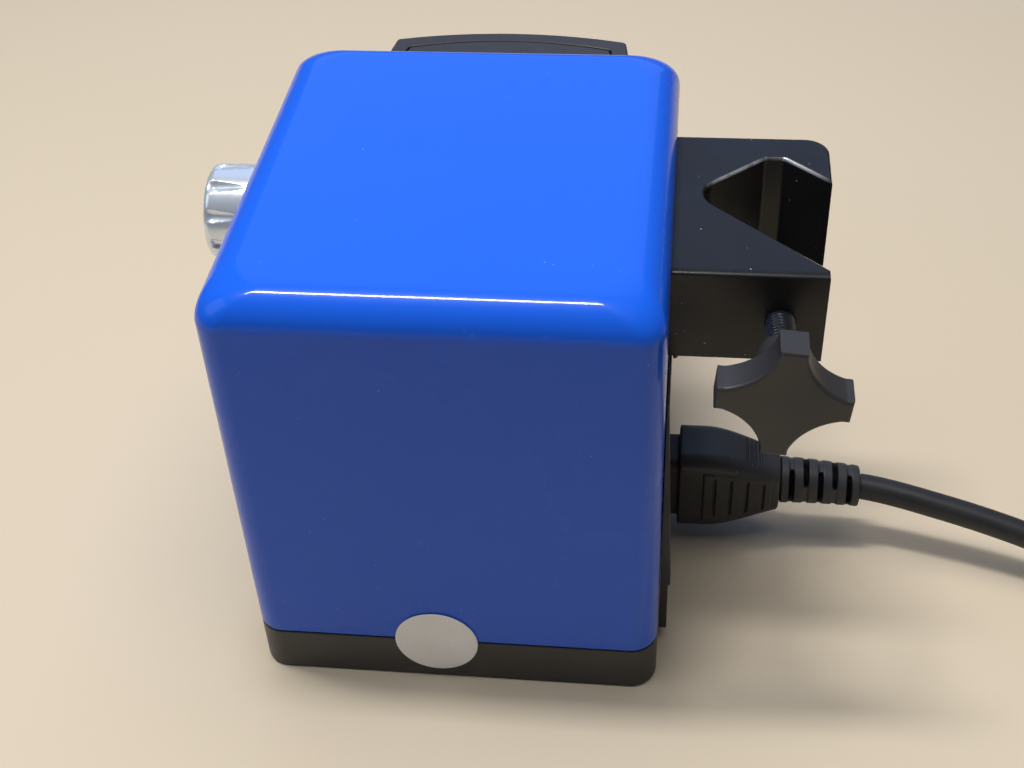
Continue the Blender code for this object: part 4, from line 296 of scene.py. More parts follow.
def filleted(corners, steps):
    """An outline through corners of (u, v, radius), each turned by an arc that touches both its sides."""
    corners = np.asarray(corners, float)
    here = corners[:, :2]
    radius = corners[:, 2:3]
    before = np.roll(here, 1, axis=0) - here
    after = np.roll(here, -1, axis=0) - here
    before /= np.linalg.norm(before, axis=1, keepdims=True)
    after /= np.linalg.norm(after, axis=1, keepdims=True)
    half = np.arccos(np.clip(np.sum(before * after, axis=1, keepdims=True), -1.0, 1.0)) / 2
    middle = (before + after) / np.linalg.norm(before + after, axis=1, keepdims=True)
    centre = here + middle * radius / np.sin(half)
    start = here + before * radius / np.tan(half) - centre
    end = here + after * radius / np.tan(half) - centre
    sweep = np.arctan2(start[:, 0] * end[:, 1] - start[:, 1] * end[:, 0], np.sum(start * end, axis=1))
    swing = sweep[:, None] * np.linspace(0.0, 1.0, steps + 1)
    u = centre[:, :1] + start[:, :1] * np.cos(swing) - start[:, 1:] * np.sin(swing)
    v = centre[:, 1:] + start[:, :1] * np.sin(swing) + start[:, 1:] * np.cos(swing)
    return np.column_stack((u.ravel(), v.ravel()))


def grid(x, y, z):
    """One array of points from three arrays of coordinates that fit each other."""
    return np.stack(np.broadcast_arrays(x, y, z), axis=-1)


def rim_profile(radius, low, high, steps=4):
    """Inset and height of a wall with both its edges rounded, from low to high."""
    draw, rise = quarter(steps)
    inset = np.concatenate((radius * (1.0 - rise), radius * draw))
    height = np.concatenate((low + radius * draw, high - radius * (1.0 - rise)))
    return inset, height


def to_piece(name, points, faces, finish):
    """A linked object of these points and faces, welded and with its faces pointing out."""
    mesh = bpy.data.meshes.new(name)
    mesh.from_pydata(points.reshape(-1, 3).tolist(), [], faces)
    bm = bmesh.new()
    bm.from_mesh(mesh)
    bmesh.ops.remove_doubles(bm, verts=bm.verts, dist=WELD)
    bmesh.ops.recalc_face_normals(bm, faces=bm.faces)
    bm.to_mesh(mesh)
    bm.free()
    mesh.materials.append(finish)
    piece = bpy.data.objects.new(name, mesh)
    bpy.context.scene.collection.objects.link(piece)
    return piece


def skin_faces(count, around, capped=True, closed=False, first=0):
    """Quads between rings that follow each other, with the end rings filled or the last joined to the first."""
    index = first + np.arange(count * around).reshape(count, around)
    rows = np.vstack((index, index[:1])) if closed else index
    low = rows[:-1]
    high = rows[1:]
    quads = np.stack((low, np.roll(low, -1, 1), np.roll(high, -1, 1), high), axis=-1).reshape(-1, 4).tolist()
    if capped and not closed:
        quads += [index[0][::-1].tolist(), index[-1].tolist()]
    return quads


def skin(name, rings, finish, capped=True, closed=False):
    """One piece skinned over an array of rings."""
    return to_piece(name, rings, skin_faces(*rings.shape[:2], capped, closed), finish)


def skin_group(name, solids, finish):
    """One piece of several separate skinned solids."""
    faces = []
    first = 0
    for rings in solids:
        faces += skin_faces(*rings.shape[:2], first=first)
        first += rings.shape[0] * rings.shape[1]
    return to_piece(name, np.vstack([rings.reshape(-1, 3) for rings in solids]), faces, finish)


def rod_rings(start, reach, radius, axis, steps=32):
    """Two rings of a plain rod that starts here and runs along one axis."""
    turn = np.linspace(0.0, 2 * math.pi, steps, endpoint=False)
    along = np.array([[0.0], [reach]])
    u = radius * np.cos(turn)
    v = radius * np.sin(turn)
    x, y, z = start
    if axis == "X":
        return grid(x + along, y + u, z + v)
    if axis == "Y":
        return grid(x + u, y + along, z + v)
    return grid(x + u, y + v, z + along)


def box_rings(low, high):
    """Two square rings of a box between two corners."""
    u = np.array([low[0], high[0], high[0], low[0]])
    v = np.array([low[1], low[1], high[1], high[1]])
    return grid(u, v, np.array([[low[2]], [high[2]]]))


def carve(piece, solids, operation="DIFFERENCE"):
    """Cut solids out of a piece, or join them to it, and keep the result as its mesh."""
    tool = skin_group("tool", solids, piece.data.materials[0])
    change = piece.modifiers.new("carve", "BOOLEAN")
    change.operation = operation
    change.solver = "EXACT"
    change.object = tool
    graph = bpy.context.evaluated_depsgraph_get()
    carved = bpy.data.meshes.new_from_object(piece.evaluated_get(graph))
    piece.modifiers.remove(change)
    plain = piece.data
    piece.data = carved
    for mesh, holder in ((plain, None), (tool.data, tool)):
        if holder is not None:
            bpy.data.objects.remove(holder)
        bpy.data.meshes.remove(mesh)
    return piece


def smooth(piece, degrees=38.0):
    """Smooth shading with sharp edges kept, in which flat faces stay flat up to their rounded rims."""
    piece.data.shade_smooth()
    piece.data.set_sharp_from_angle(angle=math.radians(degrees))
    level = piece.modifiers.new("level faces", "WEIGHTED_NORMAL")
    level.keep_sharp = True
    return piece


def dress(piece, body, slot, *nodes):
    """Let a finished piece ride on its body in place of these nodes."""
    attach(smooth(piece), body)
    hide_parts(*nodes)
    return piece


def mark(piece, name, values):
    """Store one number for each point of a piece."""
    attribute = piece.data.attributes.new(name, "FLOAT", "POINT")
    attribute.data.foreach_set("value", np.asarray(values, np.float32))


def points_of(piece):
    """The points of a piece as an array."""
    flat = np.zeros(len(piece.data.vertices) * 3, np.float32)
    piece.data.vertices.foreach_get("co", flat)
    return flat.reshape(-1, 3)


# Finishes

def node(material, kind, inputs=None, **settings):
    """A shader node with its settings made and its inputs set or linked."""
    made = material.node_tree.nodes.new(kind)
    for key, value in settings.items():
        setattr(made, key, value)
    for socket, value in (inputs or {}).items():
        if isinstance(value, bpy.types.NodeSocket):
            material.node_tree.links.new(value, made.inputs[socket])
        else:
            made.inputs[socket].default_value = value
    return made


def bare_finish(name, roughness, metallic=0.0, constants=None):
    """A new material whose constant values sit on its shader's own sockets."""
    material = bpy.data.materials.new(name)
    material.use_nodes = True
    shader = material.node_tree.nodes["Principled BSDF"]
    shader.inputs["Roughness"].default_value = roughness
    shader.inputs["Metallic"].default_value = metallic
    for socket, value in (constants or {}).items():
        shader.inputs[socket].default_value = value
    return material


def feed(material, socket, source):
    """Link a varying value to the material's shader."""
    shader = material.node_tree.nodes["Principled BSDF"]
    material.node_tree.links.new(source, shader.inputs[socket])


def place(material, stretch=(1.0, 1.0, 1.0)):
    """Object coordinates, stretched along the axes."""
    coordinates = node(material, "ShaderNodeTexCoord").outputs["Object"]
    return node(material, "ShaderNodeMapping", {"Vector": coordinates, "Scale": stretch}).outputs["Vector"]


def noise(material, scale, detail=3.0, stretch=(1.0, 1.0, 1.0)):
    """Cloudy noise from 0 to 1."""
    made = node(material, "ShaderNodeTexNoise", {"Vector": place(material, stretch), "Scale": scale, "Detail": detail})
    return made.outputs["Fac"]


def specks(material, scale, size):
    """Small round specks of 1 on 0, one in a few cells of this scale."""
    cells = node(material, "ShaderNodeTexVoronoi", {"Vector": place(material), "Scale": scale})
    dot = ranged(material, cells.outputs["Distance"], size, size * 0.5, 0.0, 1.0)
    chosen = ranged(material, noise(material, scale * 0.23, 1.0), 0.55, 0.62, 0.0, 1.0)
    return node(material, "ShaderNodeMath", {0: dot, 1: chosen}, operation="MULTIPLY").outputs[0]


def ranged(material, value, low, high, to_low, to_high):
    """A value moved from one range to another and held inside it."""
    made = node(material, "ShaderNodeMapRange", {
        "Value": value, "From Min": low, "From Max": high, "To Min": to_low, "To Max": to_high,
    })
    return made.outputs["Result"]


def mixed(material, factor, first, second):
    """One colour laid over another by a factor."""
    sockets = {"Fac": factor}
    for key, colour in (("Color1", first), ("Color2", second)):
        sockets[key] = colour if isinstance(colour, bpy.types.NodeSocket) else (*colour, 1.0)
    return node(material, "ShaderNodeMixRGB", sockets).outputs["Color"]


def bumped(material, height, distance, below=None):
    """The surface normal raised by a height, over another bump if one is given."""
    sockets = {"Height": height, "Distance": distance, "Strength": 1.0}
    if below is not None:
        sockets["Normal"] = below
    return node(material, "ShaderNodeBump", sockets).outputs["Normal"]


def shaded(colour, factor):
    """A colour made lighter or darker."""
    return tuple(min(1.0, channel * factor) for channel in colour)


def moulded(name, colour, roughness, grain, grain_height, spread=0.12, dust=0.0):
    """Moulded black plastic: fine grain, cloudy sheen, faint rubbed patches and some dust."""
    material = bare_finish(name, roughness)
    cloud = noise(material, 60.0, 4.0)
    tone = mixed(material, cloud, shaded(colour, 0.8), shaded(colour, 1.35))
    if dust > 0.0:
        tone = mixed(material, specks(material, 420.0, dust), tone, tuple(colours().dust))
    feed(material, "Base Color", tone)
    feed(material, "Roughness", ranged(material, noise(material, 35.0), 0.3, 0.7, roughness - spread, roughness + spread))
    fine = bumped(material, noise(material, grain, 2.0), grain_height)
    feed(material, "Normal", fine)
    return material


def moulding_with_painted_shade(name, colour, roughness):
    """Moulded plastic whose hollows, marked by their shade, are painted near black with little gloss as painted shade.
    """
    material = moulded(name, colour, roughness, 2600.0, 0.02 * MM, 0.08, 0.05)
    shader = material.node_tree.nodes["Principled BSDF"]
    tone = shader.inputs["Base Color"].links[0].from_socket
    depth = node(material, "ShaderNodeAttribute", attribute_name="shade").outputs["Fac"]
    # Painted shade: the marked slots are darkened to near black and their gloss is cut.
    feed(material, "Base Color", mixed(material, depth, tone, (0.002, 0.002, 0.002)))
    feed(material, "Specular IOR Level", ranged(material, depth, 0.0, 1.0, 0.5, 0.05))
    return material


def paint_finish():
    """Gloss paint: a clear coat with faint orange peel, cloudy tone, thin scuffs and specks of dust."""
    colour = tuple(colours().paint)
    material = bare_finish("gloss_blue_paint", 0.30, 0.0, {
        "Specular IOR Level": 0.10, "Coat Weight": 0.5, "Coat Roughness": 0.06,
    })
    tone = mixed(material, noise(material, 14.0), shaded(colour, 0.94), shaded(colour, 1.05))
    scuff = ranged(material, noise(material, 160.0, 6.0, (1.0, 0.12, 1.0)), 0.70, 0.78, 0.0, 0.10)
    tone = mixed(material, scuff, tone, (0.25, 0.40, 0.80))
    tone = mixed(material, specks(material, 300.0, 0.045), tone, tuple(colours().dust))
    feed(material, "Base Color", tone)
    feed(material, "Roughness", ranged(material, noise(material, 22.0, 5.0), 0.3, 0.7, 0.24, 0.36))
    feed(material, "Normal", bumped(material, noise(material, 420.0, 1.0), 0.012 * MM))
    return material


def casting_finish():
    """Black stove paint on a casting: fine bumps, dust, and rims rubbed to a brighter grey, which is partly wear and
    partly a painted highlight.
    """
    colour = tuple(colours().casting)
    material = bare_finish("black_casting_paint", 0.34, 0.0, {"Specular IOR Level": 0.35})
    tone = mixed(material, noise(material, 45.0, 4.0), shaded(colour, 0.8), shaded(colour, 1.6))
    tone = mixed(material, specks(material, 380.0, 0.08), tone, tuple(colours().dust))
    # This mark lightens a notch rim: partly rubbed paint, partly a painted highlight.
    rim = node(material, "ShaderNodeAttribute", attribute_name="rub_and_highlight").outputs["Fac"]
    bare = node(material, "ShaderNodeAttribute", attribute_name="bare").outputs["Fac"]
    patchy = ranged(material, noise(material, 260.0, 4.0), 0.35, 0.6, 0.2, 1.0)
    rubbed = node(material, "ShaderNodeMath", {0: rim, 1: patchy}, operation="MULTIPLY").outputs[0]
    tone = mixed(material, rubbed, tone, tuple(colours().worn_and_highlight))
    feed(material, "Base Color", mixed(material, bare, tone, tuple(colours().steel)))
    feed(material, "Metallic", bare)
    feed(material, "Roughness", ranged(material, noise(material, 70.0), 0.3, 0.7, 0.26, 0.40))
    feed(material, "Normal", bumped(material, noise(material, 900.0, 2.0), 0.015 * MM))
    return material


def paper_finish():
    """Matt paper: fibres, a little waviness and darker fibre streaks."""
    colour = tuple(colours().paper)
    material = bare_finish("blank_seal_paper", 0.45)
    fibre = noise(material, 1500.0, 6.0, (1.0, 1.0, 0.3))
    tone = mixed(material, noise(material, 90.0, 5.0), shaded(colour, 0.86), shaded(colour, 1.06))
    feed(material, "Base Color", mixed(material, ranged(material, fibre, 0.55, 0.75, 0.0, 0.25), tone, shaded(colour, 0.8)))
    feed(material, "Normal", bumped(material, fibre, 0.02 * MM))
    return material


def rubber_finish(name, roughness):
    """Soft black sheath: dull cloudy tone, fine pits and pale specks of dust."""
    colour = tuple(colours().rubber)
    material = bare_finish(name, roughness, 0.0, {"Specular IOR Level": 0.45})
    cloud = noise(material, 80.0, 4.0)
    tone = mixed(material, cloud, shaded(colour, 0.75), shaded(colour, 1.5))
    feed(material, "Base Color", mixed(material, specks(material, 500.0, 0.06), tone, tuple(colours().dust)))
    feed(material, "Roughness", ranged(material, cloud, 0.3, 0.7, roughness - 0.08, roughness + 0.1))
    feed(material, "Normal", bumped(material, noise(material, 2600.0, 2.0), 0.02 * MM))
    return material


def metal_finish(name, colour, roughness, lines, stretch, metallic=1.0, relief=0.004 * MM, mottle=1.0):
    """Bare or plated metal: fine tool lines along one axis and a cloudy sheen, as strong as mottle says."""
    material = bare_finish(name, roughness, metallic)
    line = noise(material, lines, 3.0, stretch)
    dim, bright = shaded(colour, 1.0 - 0.14 * mottle), shaded(colour, 1.0 + 0.06 * mottle)
    feed(material, "Base Color", mixed(material, noise(material, 90.0, 4.0), dim, bright))
    smooth, rough = roughness * (1.0 - 0.25 * mottle), roughness * (1.0 + 0.35 * mottle)
    feed(material, "Roughness", ranged(material, line, 0.3, 0.7, smooth, rough))
    feed(material, "Normal", bumped(material, line, relief))
    return material


def striped_finish(name, first, second, pitch, axis, roughness, metallic):
    """Layers side by side along one axis: laminations, or the wires of a winding."""
    material = bare_finish(name, roughness, metallic)
    wave = node(material, "ShaderNodeTexWave", {
        "Vector": place(material), "Scale": 1.0 / (pitch * 20.0 / (2 * math.pi) * 1.0), "Distortion": 0.2,
    }, bands_direction=axis)
    band = wave.outputs["Fac"]
    feed(material, "Base Color", mixed(material, band, second, first))
    feed(material, "Normal", bumped(material, band, pitch * 0.25))
    return material


def board_finish():
    """Circuit board: green mask with lighter tracks and tinned pads."""
    colour = tuple(colours().board)
    material = bare_finish("circuit_board", 0.35, 0.0, {"Coat Weight": 0.4})
    bricks = node(material, "ShaderNodeTexBrick", {
        "Vector": place(material), "Scale": 180.0, "Mortar Size": 0.06,
        "Color1": (*shaded(colour, 0.9), 1.0), "Color2": (*shaded(colour, 1.1), 1.0), "Mortar": (*shaded(colour, 2.0), 1.0),
    })
    feed(material, "Base Color", mixed(material, specks(material, 260.0, 0.2), bricks.outputs["Color"], (0.6, 0.6, 0.58)))
    feed(material, "Normal", bumped(material, bricks.outputs["Fac"], 0.03 * MM))
    return material


def glass_finish():
    """Clear glass with faint ripples."""
    material = bare_finish("fuse_glass", 0.05, 0.0, {"Transmission Weight": 0.9, "IOR": 1.5})
    colour = tuple(colours().glass)
    feed(material, "Base Color", mixed(material, noise(material, 200.0), colour, shaded(colour, 1.1)))
    feed(material, "Normal", bumped(material, noise(material, 120.0, 1.0), 0.01 * MM))
    return material


FINISH_MAKERS = {
    "paint": paint_finish,
    "casting": casting_finish,
    "paper": paper_finish,
    "tray": lambda: moulded("tray_moulding", tuple(colours().moulding), 0.42, 1800.0, 0.02 * MM),
    "panel": lambda: moulded("panel_moulding", tuple(colours().moulding), 0.48, 2400.0, 0.03 * MM),
    "head": lambda: moulded("head_moulding", tuple(colours().moulding), 0.40, 2200.0, 0.035 * MM, 0.08, 0.05),
    "grip": lambda: moulded("star_moulding", tuple(colours().grip), 0.46, 2000.0, 0.03 * MM, 0.1),
    "connector": lambda: moulded("connector_moulding", shaded(colours().rubber, 1.6), 0.50, 2600.0, 0.02 * MM, 0.08, 0.05),
    "relief": lambda: moulding_with_painted_shade("relief_moulding", shaded(colours().rubber, 1.6), 0.50),
    "sheath": lambda: rubber_finish("cord_sheath", 0.42),
    "rubber": lambda: rubber_finish("dull_rubber", 0.62),
    "aluminium": lambda: metal_finish("satin_aluminium", tuple(colours().aluminium), 0.24, 300.0, (6.0, 1.0, 1.0), 0.7, 0.0001 * MM, 0.3),
    "steel": lambda: metal_finish("bright_steel", tuple(colours().steel), 0.32, 500.0, (1.0, 4.0, 1.0)),
    "dark_steel": lambda: metal_finish("blackened_steel", tuple(colours().dark_steel), 0.42, 900.0, (1.0, 1.0, 1.0)),
    "brass": lambda: metal_finish("drawn_brass", tuple(colours().brass), 0.28, 600.0, (1.0, 0.2, 1.0)),
    "winding": lambda: striped_finish("enamelled_winding", tuple(colours().copper), shaded(colours().copper, 0.3),
                                      0.6 * MM, "Z", 0.35, 0.6),
    "laminations": lambda: striped_finish("core_laminations", tuple(colours().steel), shaded(colours().steel, 0.4),
                                          0.5 * MM, "Y", 0.45, 0.8),
    "board": board_finish,
    "glass": glass_finish,
}


def finish(name):
    """The finish of this name, made when it is first asked for."""
    label = f"mixer_{name}"
    if label not in bpy.data.materials:
        FINISH_MAKERS[name]().name = label
    return bpy.data.materials[label]


def refinish(name, *nodes):
    """Give solids that stay in sight this finish."""
    for label in nodes:
        for slot in frame["nodes"][label].material_slots:
            slot.material = finish(name)


# Stage

def build_camera(studio):
    """The camera at the photograph's angle: its axes follow from azimuth, elevation and roll."""
    back = Vector((
        math.sin(studio.azimuth) * math.cos(studio.elevation),
        -math.cos(studio.azimuth) * math.cos(studio.elevation),
        math.sin(studio.elevation),
    ))
    right = (-back).cross(Vector((0.0, 0.0, 1.0))).normalized()
    up = right.cross(-back)
    turn = Matrix.Rotation(studio.roll, 3, back)
    axes = Matrix((turn @ right, turn @ up, back)).transposed().to_4x4()
    camera = bpy.data.objects.new("camera", bpy.data.cameras.new("camera"))
    camera.data.lens = studio.lens
    camera.data.sensor_width = 36.0
    camera.data.clip_start = 0.01
    camera.matrix_world = Matrix.Translation(studio.eye) @ axes
    bpy.context.scene.collection.objects.link(camera)
    bpy.context.scene.camera = camera


def build_lamp(name, place_at, aim, side, power, colour, width=None):
    """A soft lamp here that faces the aim, square unless a width is given."""
    lamp = bpy.data.lights.new(name, "AREA")
    lamp.shape = "RECTANGLE"
    lamp.size = side
    lamp.size_y = width or side
    lamp.energy = power
    lamp.color = colour
    holder = bpy.data.objects.new(name, lamp)
    holder.location = place_at
    holder.rotation_euler = (Vector(aim) - Vector(place_at)).to_track_quat("-Z", "Y").to_euler()
    bpy.context.scene.collection.objects.link(holder)
    return holder


def floor_finish(colour):
    """Plain pale floor with the faintest clouding."""
    material = bare_finish("pale_floor", 0.6)
    feed(material, "Base Color", mixed(material, noise(material, 3.0), shaded(colour, 0.98), shaded(colour, 1.02)))
    return material


class MIXER_OT_stage(Operator):
    """Camera, pale floor, soft sky and overhead lamp."""
    bl_idname = "mixer.stage"
    bl_label = "Stage"

    def execute(self, context):
        studio = context.scene.mixer_studio
        build_camera(studio)
        half = 3.0
        corners = np.array([(-half, -half, 0.0), (half, -half, 0.0), (half, half, 0.0), (-half, half, 0.0)])
        floor = to_piece("pale_floor", corners, [[0, 1, 2, 3]], floor_finish(tuple(studio.floor)))
        world = bpy.data.worlds.new("studio")
        world.use_nodes = True
        background = world.node_tree.nodes["Background"]
        background.inputs["Color"].default_value = (*studio.sky, 1.0)
        background.inputs["Strength"].default_value = studio.sky_strength
        context.scene.world = world
        context.scene.view_settings.view_transform = "Standard"
        centre = (0.02, 0.03, 0.05)
        top = studio.lamp_height
        under = (0.02, 0.03, 0.0)
        build_lamp("overhead", (-0.22, 0.03, top), (-0.22, 0.03, 0.0), studio.lamp_size, studio.lamp_power, studio.lamp, studio.lamp_width)
        high = (0.02, 0.05, top + 0.05)
        ceiling = build_lamp("ceiling", high, under, studio.ceiling_size, studio.ceiling_power, studio.lamp)
        ceiling.visible_glossy = False
        build_lamp("window", (0.0, 1.7, 1.25), centre, studio.window_size, studio.window_power, studio.window)
        build_lamp("side window", (-1.15, -0.30, 1.0), centre, studio.side_size, studio.side_power, studio.side_window)
        return {"FINISHED"}


# Cord

def route_points(stops, steps=24):
    """A smooth curve through the stops: each span is the cubic that keeps its neighbours' slopes."""
    a, b, c, d = stops[:-3, None], stops[1:-2, None], stops[2:-1, None], stops[3:, None]
    t = np.linspace(0.0, 1.0, steps, endpoint=False)[None, :, None]
    cubic = 0.5 * (2 * b + (c - a) * t + (2 * a - 5 * b + 4 * c - d) * t ** 2 + (3 * b - a - 3 * c + d) * t ** 3)
    return np.vstack((cubic.reshape(-1, 3), stops[-2:-1]))


def coil_points(diameter, steps=40):
    """Loops that spiral in on the lower layer and out again on the upper one, then run out to the plug.

    The radius falls by one pitch a turn to the middle of the winding and then grows again, and the
    height climbs one pitch in the half turn round that middle.
    """
    turns = np.linspace(0.0, COIL_TURNS, round(COIL_TURNS * steps) + 1)
    middle = COIL_TURNS / 2
    inner = COIL_MID_RADIUS - COIL_PITCH * COIL_TURNS / 4
    radius = inner + COIL_PITCH * np.abs(turns - middle)
    height = COIL_LOW + COIL_PITCH * ease(turns, middle - 0.25, middle + 0.25)
    swing = 2 * math.pi * turns - math.pi / 2
    loops = grid(COIL_CENTRE[0] + radius * np.cos(swing), COIL_CENTRE[1] + radius * np.sin(swing), height)
    start = loops[0] + np.array([-diameter, 0.0, 0.0])
    onward = np.array([-math.sin(swing[-1]), math.cos(swing[-1]), 0.0])
    share = np.linspace(0.0, 1.0, 17)[1:, None]
    fall = (COIL_LOW + COIL_PITCH - PLUG_REST) * ease(share, 0.0, 0.8)
    tail = loops[-1] + onward * COIL_TAIL * share - np.array([0.0, 0.0, 1.0]) * fall
    return np.vstack((start, loops, tail))


def cord_path(diameter):
    """The cord's whole line, from the strain relief along the bench into its coil and out to its plug."""
    coil = coil_points(diameter)
    straight = np.array([diameter, 0.0, 0.0])
    lead = coil[0] - np.array([GAP, 0.0, 0.0])
    stops = np.vstack((CORD_LEAD_IN, CORD_EXIT, ROUTE, lead - straight, lead))
    line = np.vstack((route_points(stops), lead, coil))
    run = np.concatenate(([0.0], np.cumsum(np.linalg.norm(np.diff(line, axis=0), axis=1))))
    keep = np.concatenate(([True], np.diff(run) > WELD))
    even = np.linspace(0.0, run[-1], round(run[-1] / (3.5 * MM)) + 1)
    return np.column_stack([np.interp(even, run[keep], line[keep, axis]) for axis in range(3)])


def tube_rings(path, radius, steps=28):
    """Round rings along a path, each square to it with one axis kept level."""
    ahead = np.gradient(path, axis=0)
    ahead /= np.linalg.norm(ahead, axis=1, keepdims=True)
    side = np.cross(ahead, (0.0, 0.0, 1.0))
    side /= np.linalg.norm(side, axis=1, keepdims=True)
    up = np.cross(side, ahead)
    turn = np.linspace(0.0, 2 * math.pi, steps, endpoint=False)[None, :, None]
    return path[:, None] + radius * (side[:, None] * np.cos(turn) + up[:, None] * np.sin(turn))


def build_cord(diameter):
    """The mains cord with its whole length in its coil."""
    path = cord_path(diameter)
    cord = skin("mains_lead", tube_rings(path, diameter / 2), finish("sheath"))
    dress(cord, "housing", "black_rubber", "mains_cord", "cord_coil")


def build_tie():
    """The strap round the coil: a rounded rectangle's loop with a thin rounded section carried round it."""
    low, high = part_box("coil_tie")
    wide = 12.0 * MM
    thick = 1.0 * MM
    half_v = (high.z - low.z) / 2
    radius = 4.2 * MM
    across = COIL_PITCH * COIL_TURNS / 2 + 8.4 * MM + COIL_PITCH + 2 * GAP + 2 * thick
    loop = rounded_loop(8, 12)
    turn = np.linspace(0.0, 2 * math.pi, 24, endpoint=False)
    squared = np.sign(np.sin(turn)) * np.abs(np.sin(turn)) ** 0.4
    inset = thick / 2 * (1.0 - squared)
    along = wide / 2 * np.sign(np.cos(turn)) * np.abs(np.cos(turn)) ** 0.4
    u, v = rounded_rings(loop, across / 2 - inset, half_v - inset, radius - inset)
    cos = math.cos(TIE_ANGLE)
    sin = math.sin(TIE_ANGLE)
    out = COIL_MID_RADIUS + u
    x = COIL_CENTRE[0] + out * cos - along[:, None] * sin
    y = COIL_CENTRE[1] + out * sin + along[:, None] * cos
    tie = skin("coil_strap", grid(x, y, (low.z + high.z) / 2 + v), finish("rubber"), closed=True)
    return dress(tie, "housing", "black_rubber", "coil_tie")


def build_connector():
    """The moulded connector: rounded sections along X, with grip bars pressed into its faces.

    The half sizes follow the solid: a nose in the inlet, a square shoulder, a straight body and a
    taper to the strain relief. Bars stand on the near and far faces, and ridges cross the top.
    """
    low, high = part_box("mains_connector")
    centre_y = (low.y + high.y) / 2
    centre_z = (low.z + high.z) / 2
    shoulder = high.x - 32.5 * MM
    straight = shoulder + 11.0 * MM
    edge = 0.8 * MM
    draw, rise = quarter(4)
    nose = np.array([low.x, low.x + edge, shoulder - 0.01 * MM])
    front = shoulder + edge * draw
    body = np.linspace(shoulder + edge, high.x - edge, 120)[1:]
    back = high.x - edge * (1.0 - rise)
    x = np.concatenate((nose, front, body, back))
    taper = ease(x, straight - 3.0 * MM, high.x + 9.0 * MM) / ease(high.x, straight - 3.0 * MM, high.x + 9.0 * MM)
    tall = (high.z - low.z) / 2
    half_y = np.where(x < shoulder, 8.2 * MM, 10.0 * MM - 2.3 * MM * taper)
    half_z = np.where(x < shoulder, 12.0 * MM, tall + (8.5 * MM - tall) * taper)
    pull = np.concatenate(((edge, 0.0, 0.0), edge * (1.0 - rise), np.zeros(len(body)), edge * draw))
    loop = rounded_loop(8, 40)
    radius = np.where(x < shoulder, 3.0 * MM, 4.2 * MM)
    y, z = rounded_rings(loop, half_y - pull, half_z - pull, radius)
    along = x[:, None]
    reach = half_z[:, None] * 0.66
    panel = window(along, straight - 2.8 * MM, high.x - 3.0 * MM, 0.4 * MM) * window(z, -reach, reach, 0.5 * MM)
    bars = np.zeros_like(panel)
    for number in range(4):
        start = straight + (0.4 + 5.2 * number) * MM
        bars += window(along, start, start + 0.4 * MM, 0.35 * MM) * window(z, -0.8 * reach, 0.8 * reach, 0.4 * MM)
    relief = sizes().grip_relief * (panel - 1.4 * bars) * ease(np.abs(loop[:, 2]), 0.9, 1.0)
    y = y + np.sign(loop[:, 2]) * relief
    ridges = np.zeros_like(panel)
    for number in range(4):
        start = high.x - (11.0 - 1.45 * number) * MM
        ridges += window(along, start, start + 0.3 * MM, 0.35 * MM)
    z = z - np.sign(loop[:, 3]) * sizes().grip_relief * ridges * ease(np.abs(loop[:, 3]), 0.9, 1.0)
    connector = skin("cord_connector", grid(along, centre_y + y, centre_z + z), finish("connector"))
    return dress(connector, "housing", "black_moulding", "mains_connector")


def build_boot():
    """The slotted strain relief: a tapering tube whose radius drops in slots, set crosswise by turns.

    Every band between two rings is a shallow groove, and in it two deep slots with round ends face
    each other. From band to band they turn, so that the tube bends every way.
    """
    low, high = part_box("connector_boot")
    centre = Vector((0.0, 1.3 * MM, 23.0 * MM))
    reach = high.x - low.x
    rings = 6
    step = reach / (2 * rings - 1)
    along = np.linspace(0.0, reach, 200)[:, None]
    turn = np.linspace(-math.pi, math.pi, 120, endpoint=False)[None, :]
    outer = 7.6 * MM - 1.0 * MM * along / reach
    radius = outer + 0.0 * turn
    shade = np.zeros_like(radius)
    for number in range(rings - 1):
        middle = (2 * number + 1.5) * step
        across = np.abs(along - middle)
        facing = math.radians(22.0 if number % 2 == 0 else 72.0)
        off = np.abs((turn - facing + math.pi / 2) % math.pi - math.pi / 2)
        mouth = SLOT_HALF_WIDTH * np.sqrt(np.clip(1.0 - (off / math.radians(50.0)) ** 6, 0.0, 1.0))
        opened = 1.0 - ease(across, 0.75 * mouth - 0.05 * MM, mouth + 0.15 * MM)
        groove = 0.35 * MM * (1.0 - ease(across, 0.4 * SLOT_HALF_WIDTH, 1.3 * SLOT_HALF_WIDTH))
        slot = opened * ease(mouth, 0.0, 0.3 * MM)
        shade = np.maximum(shade, slot)
        radius = radius - np.maximum(groove, slot * (outer - 4.9 * MM))
    end = np.minimum(along, reach - along)
    radius = radius - 0.6 * MM * (1.0 - np.sqrt(np.clip(1.0 - (1.0 - np.clip(end / (0.6 * MM), 0.0, 1.0)) ** 2, 0.0, 1.0)))
    sag = 1.5 * MM * (along / reach) ** 2
    points = grid(low.x + along, centre.y - radius * np.cos(turn), centre.z - sag + radius * np.sin(turn))
    boot = skin("slotted_relief", points, finish("relief"))
    # The slots are marked so that their finish paints them near black as painted shade.
    mark(boot, "shade", shade.ravel())
    return dress(boot, "housing", "black_rubber", "connector_boot")


